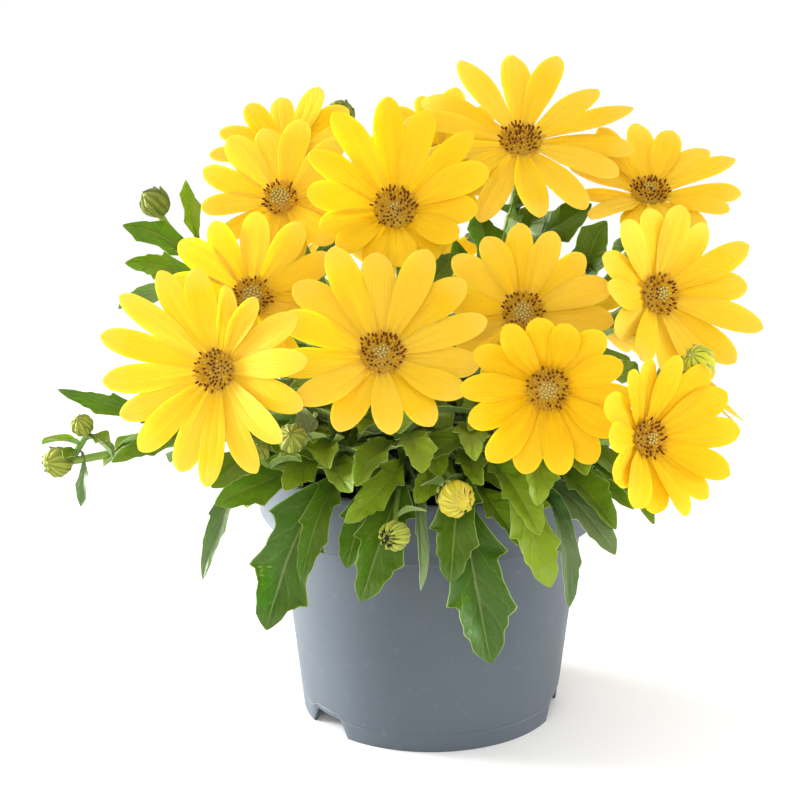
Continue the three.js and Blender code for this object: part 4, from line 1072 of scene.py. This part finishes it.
def make_soil():
    mesh = Mesh()
    top, rings = SOIL_RADIUS, 70
    r = np.r_[np.linspace(.2, top, rings), top - .2, 58, 54, 53.5, 45, .2]
    z = np.r_[np.interp(r[:rings], [0, 34, top], [92.4, 91.7, 89.4]), 85, 80, 79.4, 70, 9, 8.9]
    a = circle(150)
    points = np.stack([r[:, None] * np.cos(a), r[:, None] * np.sin(a), z[:, None] + 0 * a], -1)
    for point in points[:rings - 2].reshape(-1, 3):
        q = Vector(point)
        point[2] += noise.noise(q * .35) + .9 * abs(noise.noise(q * 1.1)) - .4
    mesh.grid(points, around=True, tone=0)
    draw = draws(SEED.crumbs)
    corners = arr([1, 0, 0], [-1, 0, 0], [0, 1, 0], [0, -1, 0], [0, 0, .7], [0, 0, -.7])
    faces = [(0, 2, 4), (2, 1, 4), (1, 3, 4), (3, 0, 4), (2, 0, 5), (1, 2, 5), (3, 1, 5), (0, 3, 5)]
    for _ in range(CRUMBS):
        rr, aa = 59.5 * sqrt(draw()), 2 * pi * draw()
        at = arr(rr * cos(aa), rr * sin(aa), np.interp(rr, [0, 34, 61], [92.5, 91.9, 89.6]) + .6 * draw())
        size, pale = mix(.4, 1.7, draw() ** 3), draw() > .93
        crumb = corners * (np.array([[.6 + .8 * draw()] for _ in corners]) * size)
        turn = 6.3 * draw()
        crumb[:, :2] = crumb[:, :2] @ np.array([[cos(turn), -sin(turn)], [sin(turn), cos(turn)]])
        mesh.add(at + crumb, faces, tone=1 if pale else .12 * draw())
    mesh.make("compost", [soil_look()], "soil", "soil")


# ---- the plant ----
for name in BLOOMS:
    bloom_petals(name)
    bloom_disc(name)
yellow_bud()
shoots = {name: Mesh() for name in STEMS}
for name, mesh in shoots.items():
    stem_shaft(mesh, name)
    for item in BUDS:
        if item[0] == name:
            bud_stalk(mesh, item)
    leaves_of(mesh, name)
for name, mesh in shoots.items():
    young_leaves(mesh, name, tree_of(np.concatenate(crowd)))
    mesh.make("leafy_stem_" + name, GREENS, "stem_" + name, "stem")
make_pot()
make_soil()

# ---- floor, light and camera ----
floor_look = Look("floor", .7, .1)
floor_look.set(Base_Color=floor_look.ramp(floor_look.noise(3), (.3, .96469), (.7, .98225)))
data = bpy.data.meshes.new("floor")
data.from_pydata([(-6, -6, 0), (6, -6, 0), (6, 6, 0), (-6, 6, 0)], [], [(0, 1, 2, 3)])
data.materials.append(floor_look.material)
floor = place("floor", data)

world = bpy.data.worlds.new("studio")
bpy.context.scene.world = world
world.use_nodes = True
room = world.node_tree.nodes["Background"]
room.inputs["Color"].default_value = (1, 1, 1, 1)
room.inputs["Strength"].default_value = 1


def lamp(name, at, aim, size, power, spread=180):
    light = bpy.data.lights.new(name, "AREA")
    light.shape, light.size, light.energy, light.spread = "DISK", size, power, radians(spread)
    item = place(name, light)
    item.location = at
    item.rotation_euler = (Vector(aim) - Vector(at)).to_track_quat("-Z", "Y").to_euler()


lamp("key", (-.2, -1.4, .6), (0, 0, .12), 1, 10)
lamp("left", (-.87, .28, .12), (0, 0, .02), .6, 4.5, 50)
lamp("right", (1.2, 0, .1), (0, 0, .03), .5, .85, 40)
lamp("top", (.2, .5, 1.8), (0, 0, .15), 1.2, 2)

camera = bpy.data.cameras.new("camera")
camera.lens, camera.sensor_width = 135, 36
eye = place("camera", camera)
eye.location = AXIS + np.array([-.0114, -1.04, .465])
eye.rotation_euler = (radians(90 - 18.4), 0, 0)     # it looks 18.4 degrees down
bpy.context.scene.camera = eye
bpy.context.scene.view_settings.view_transform = "Standard"
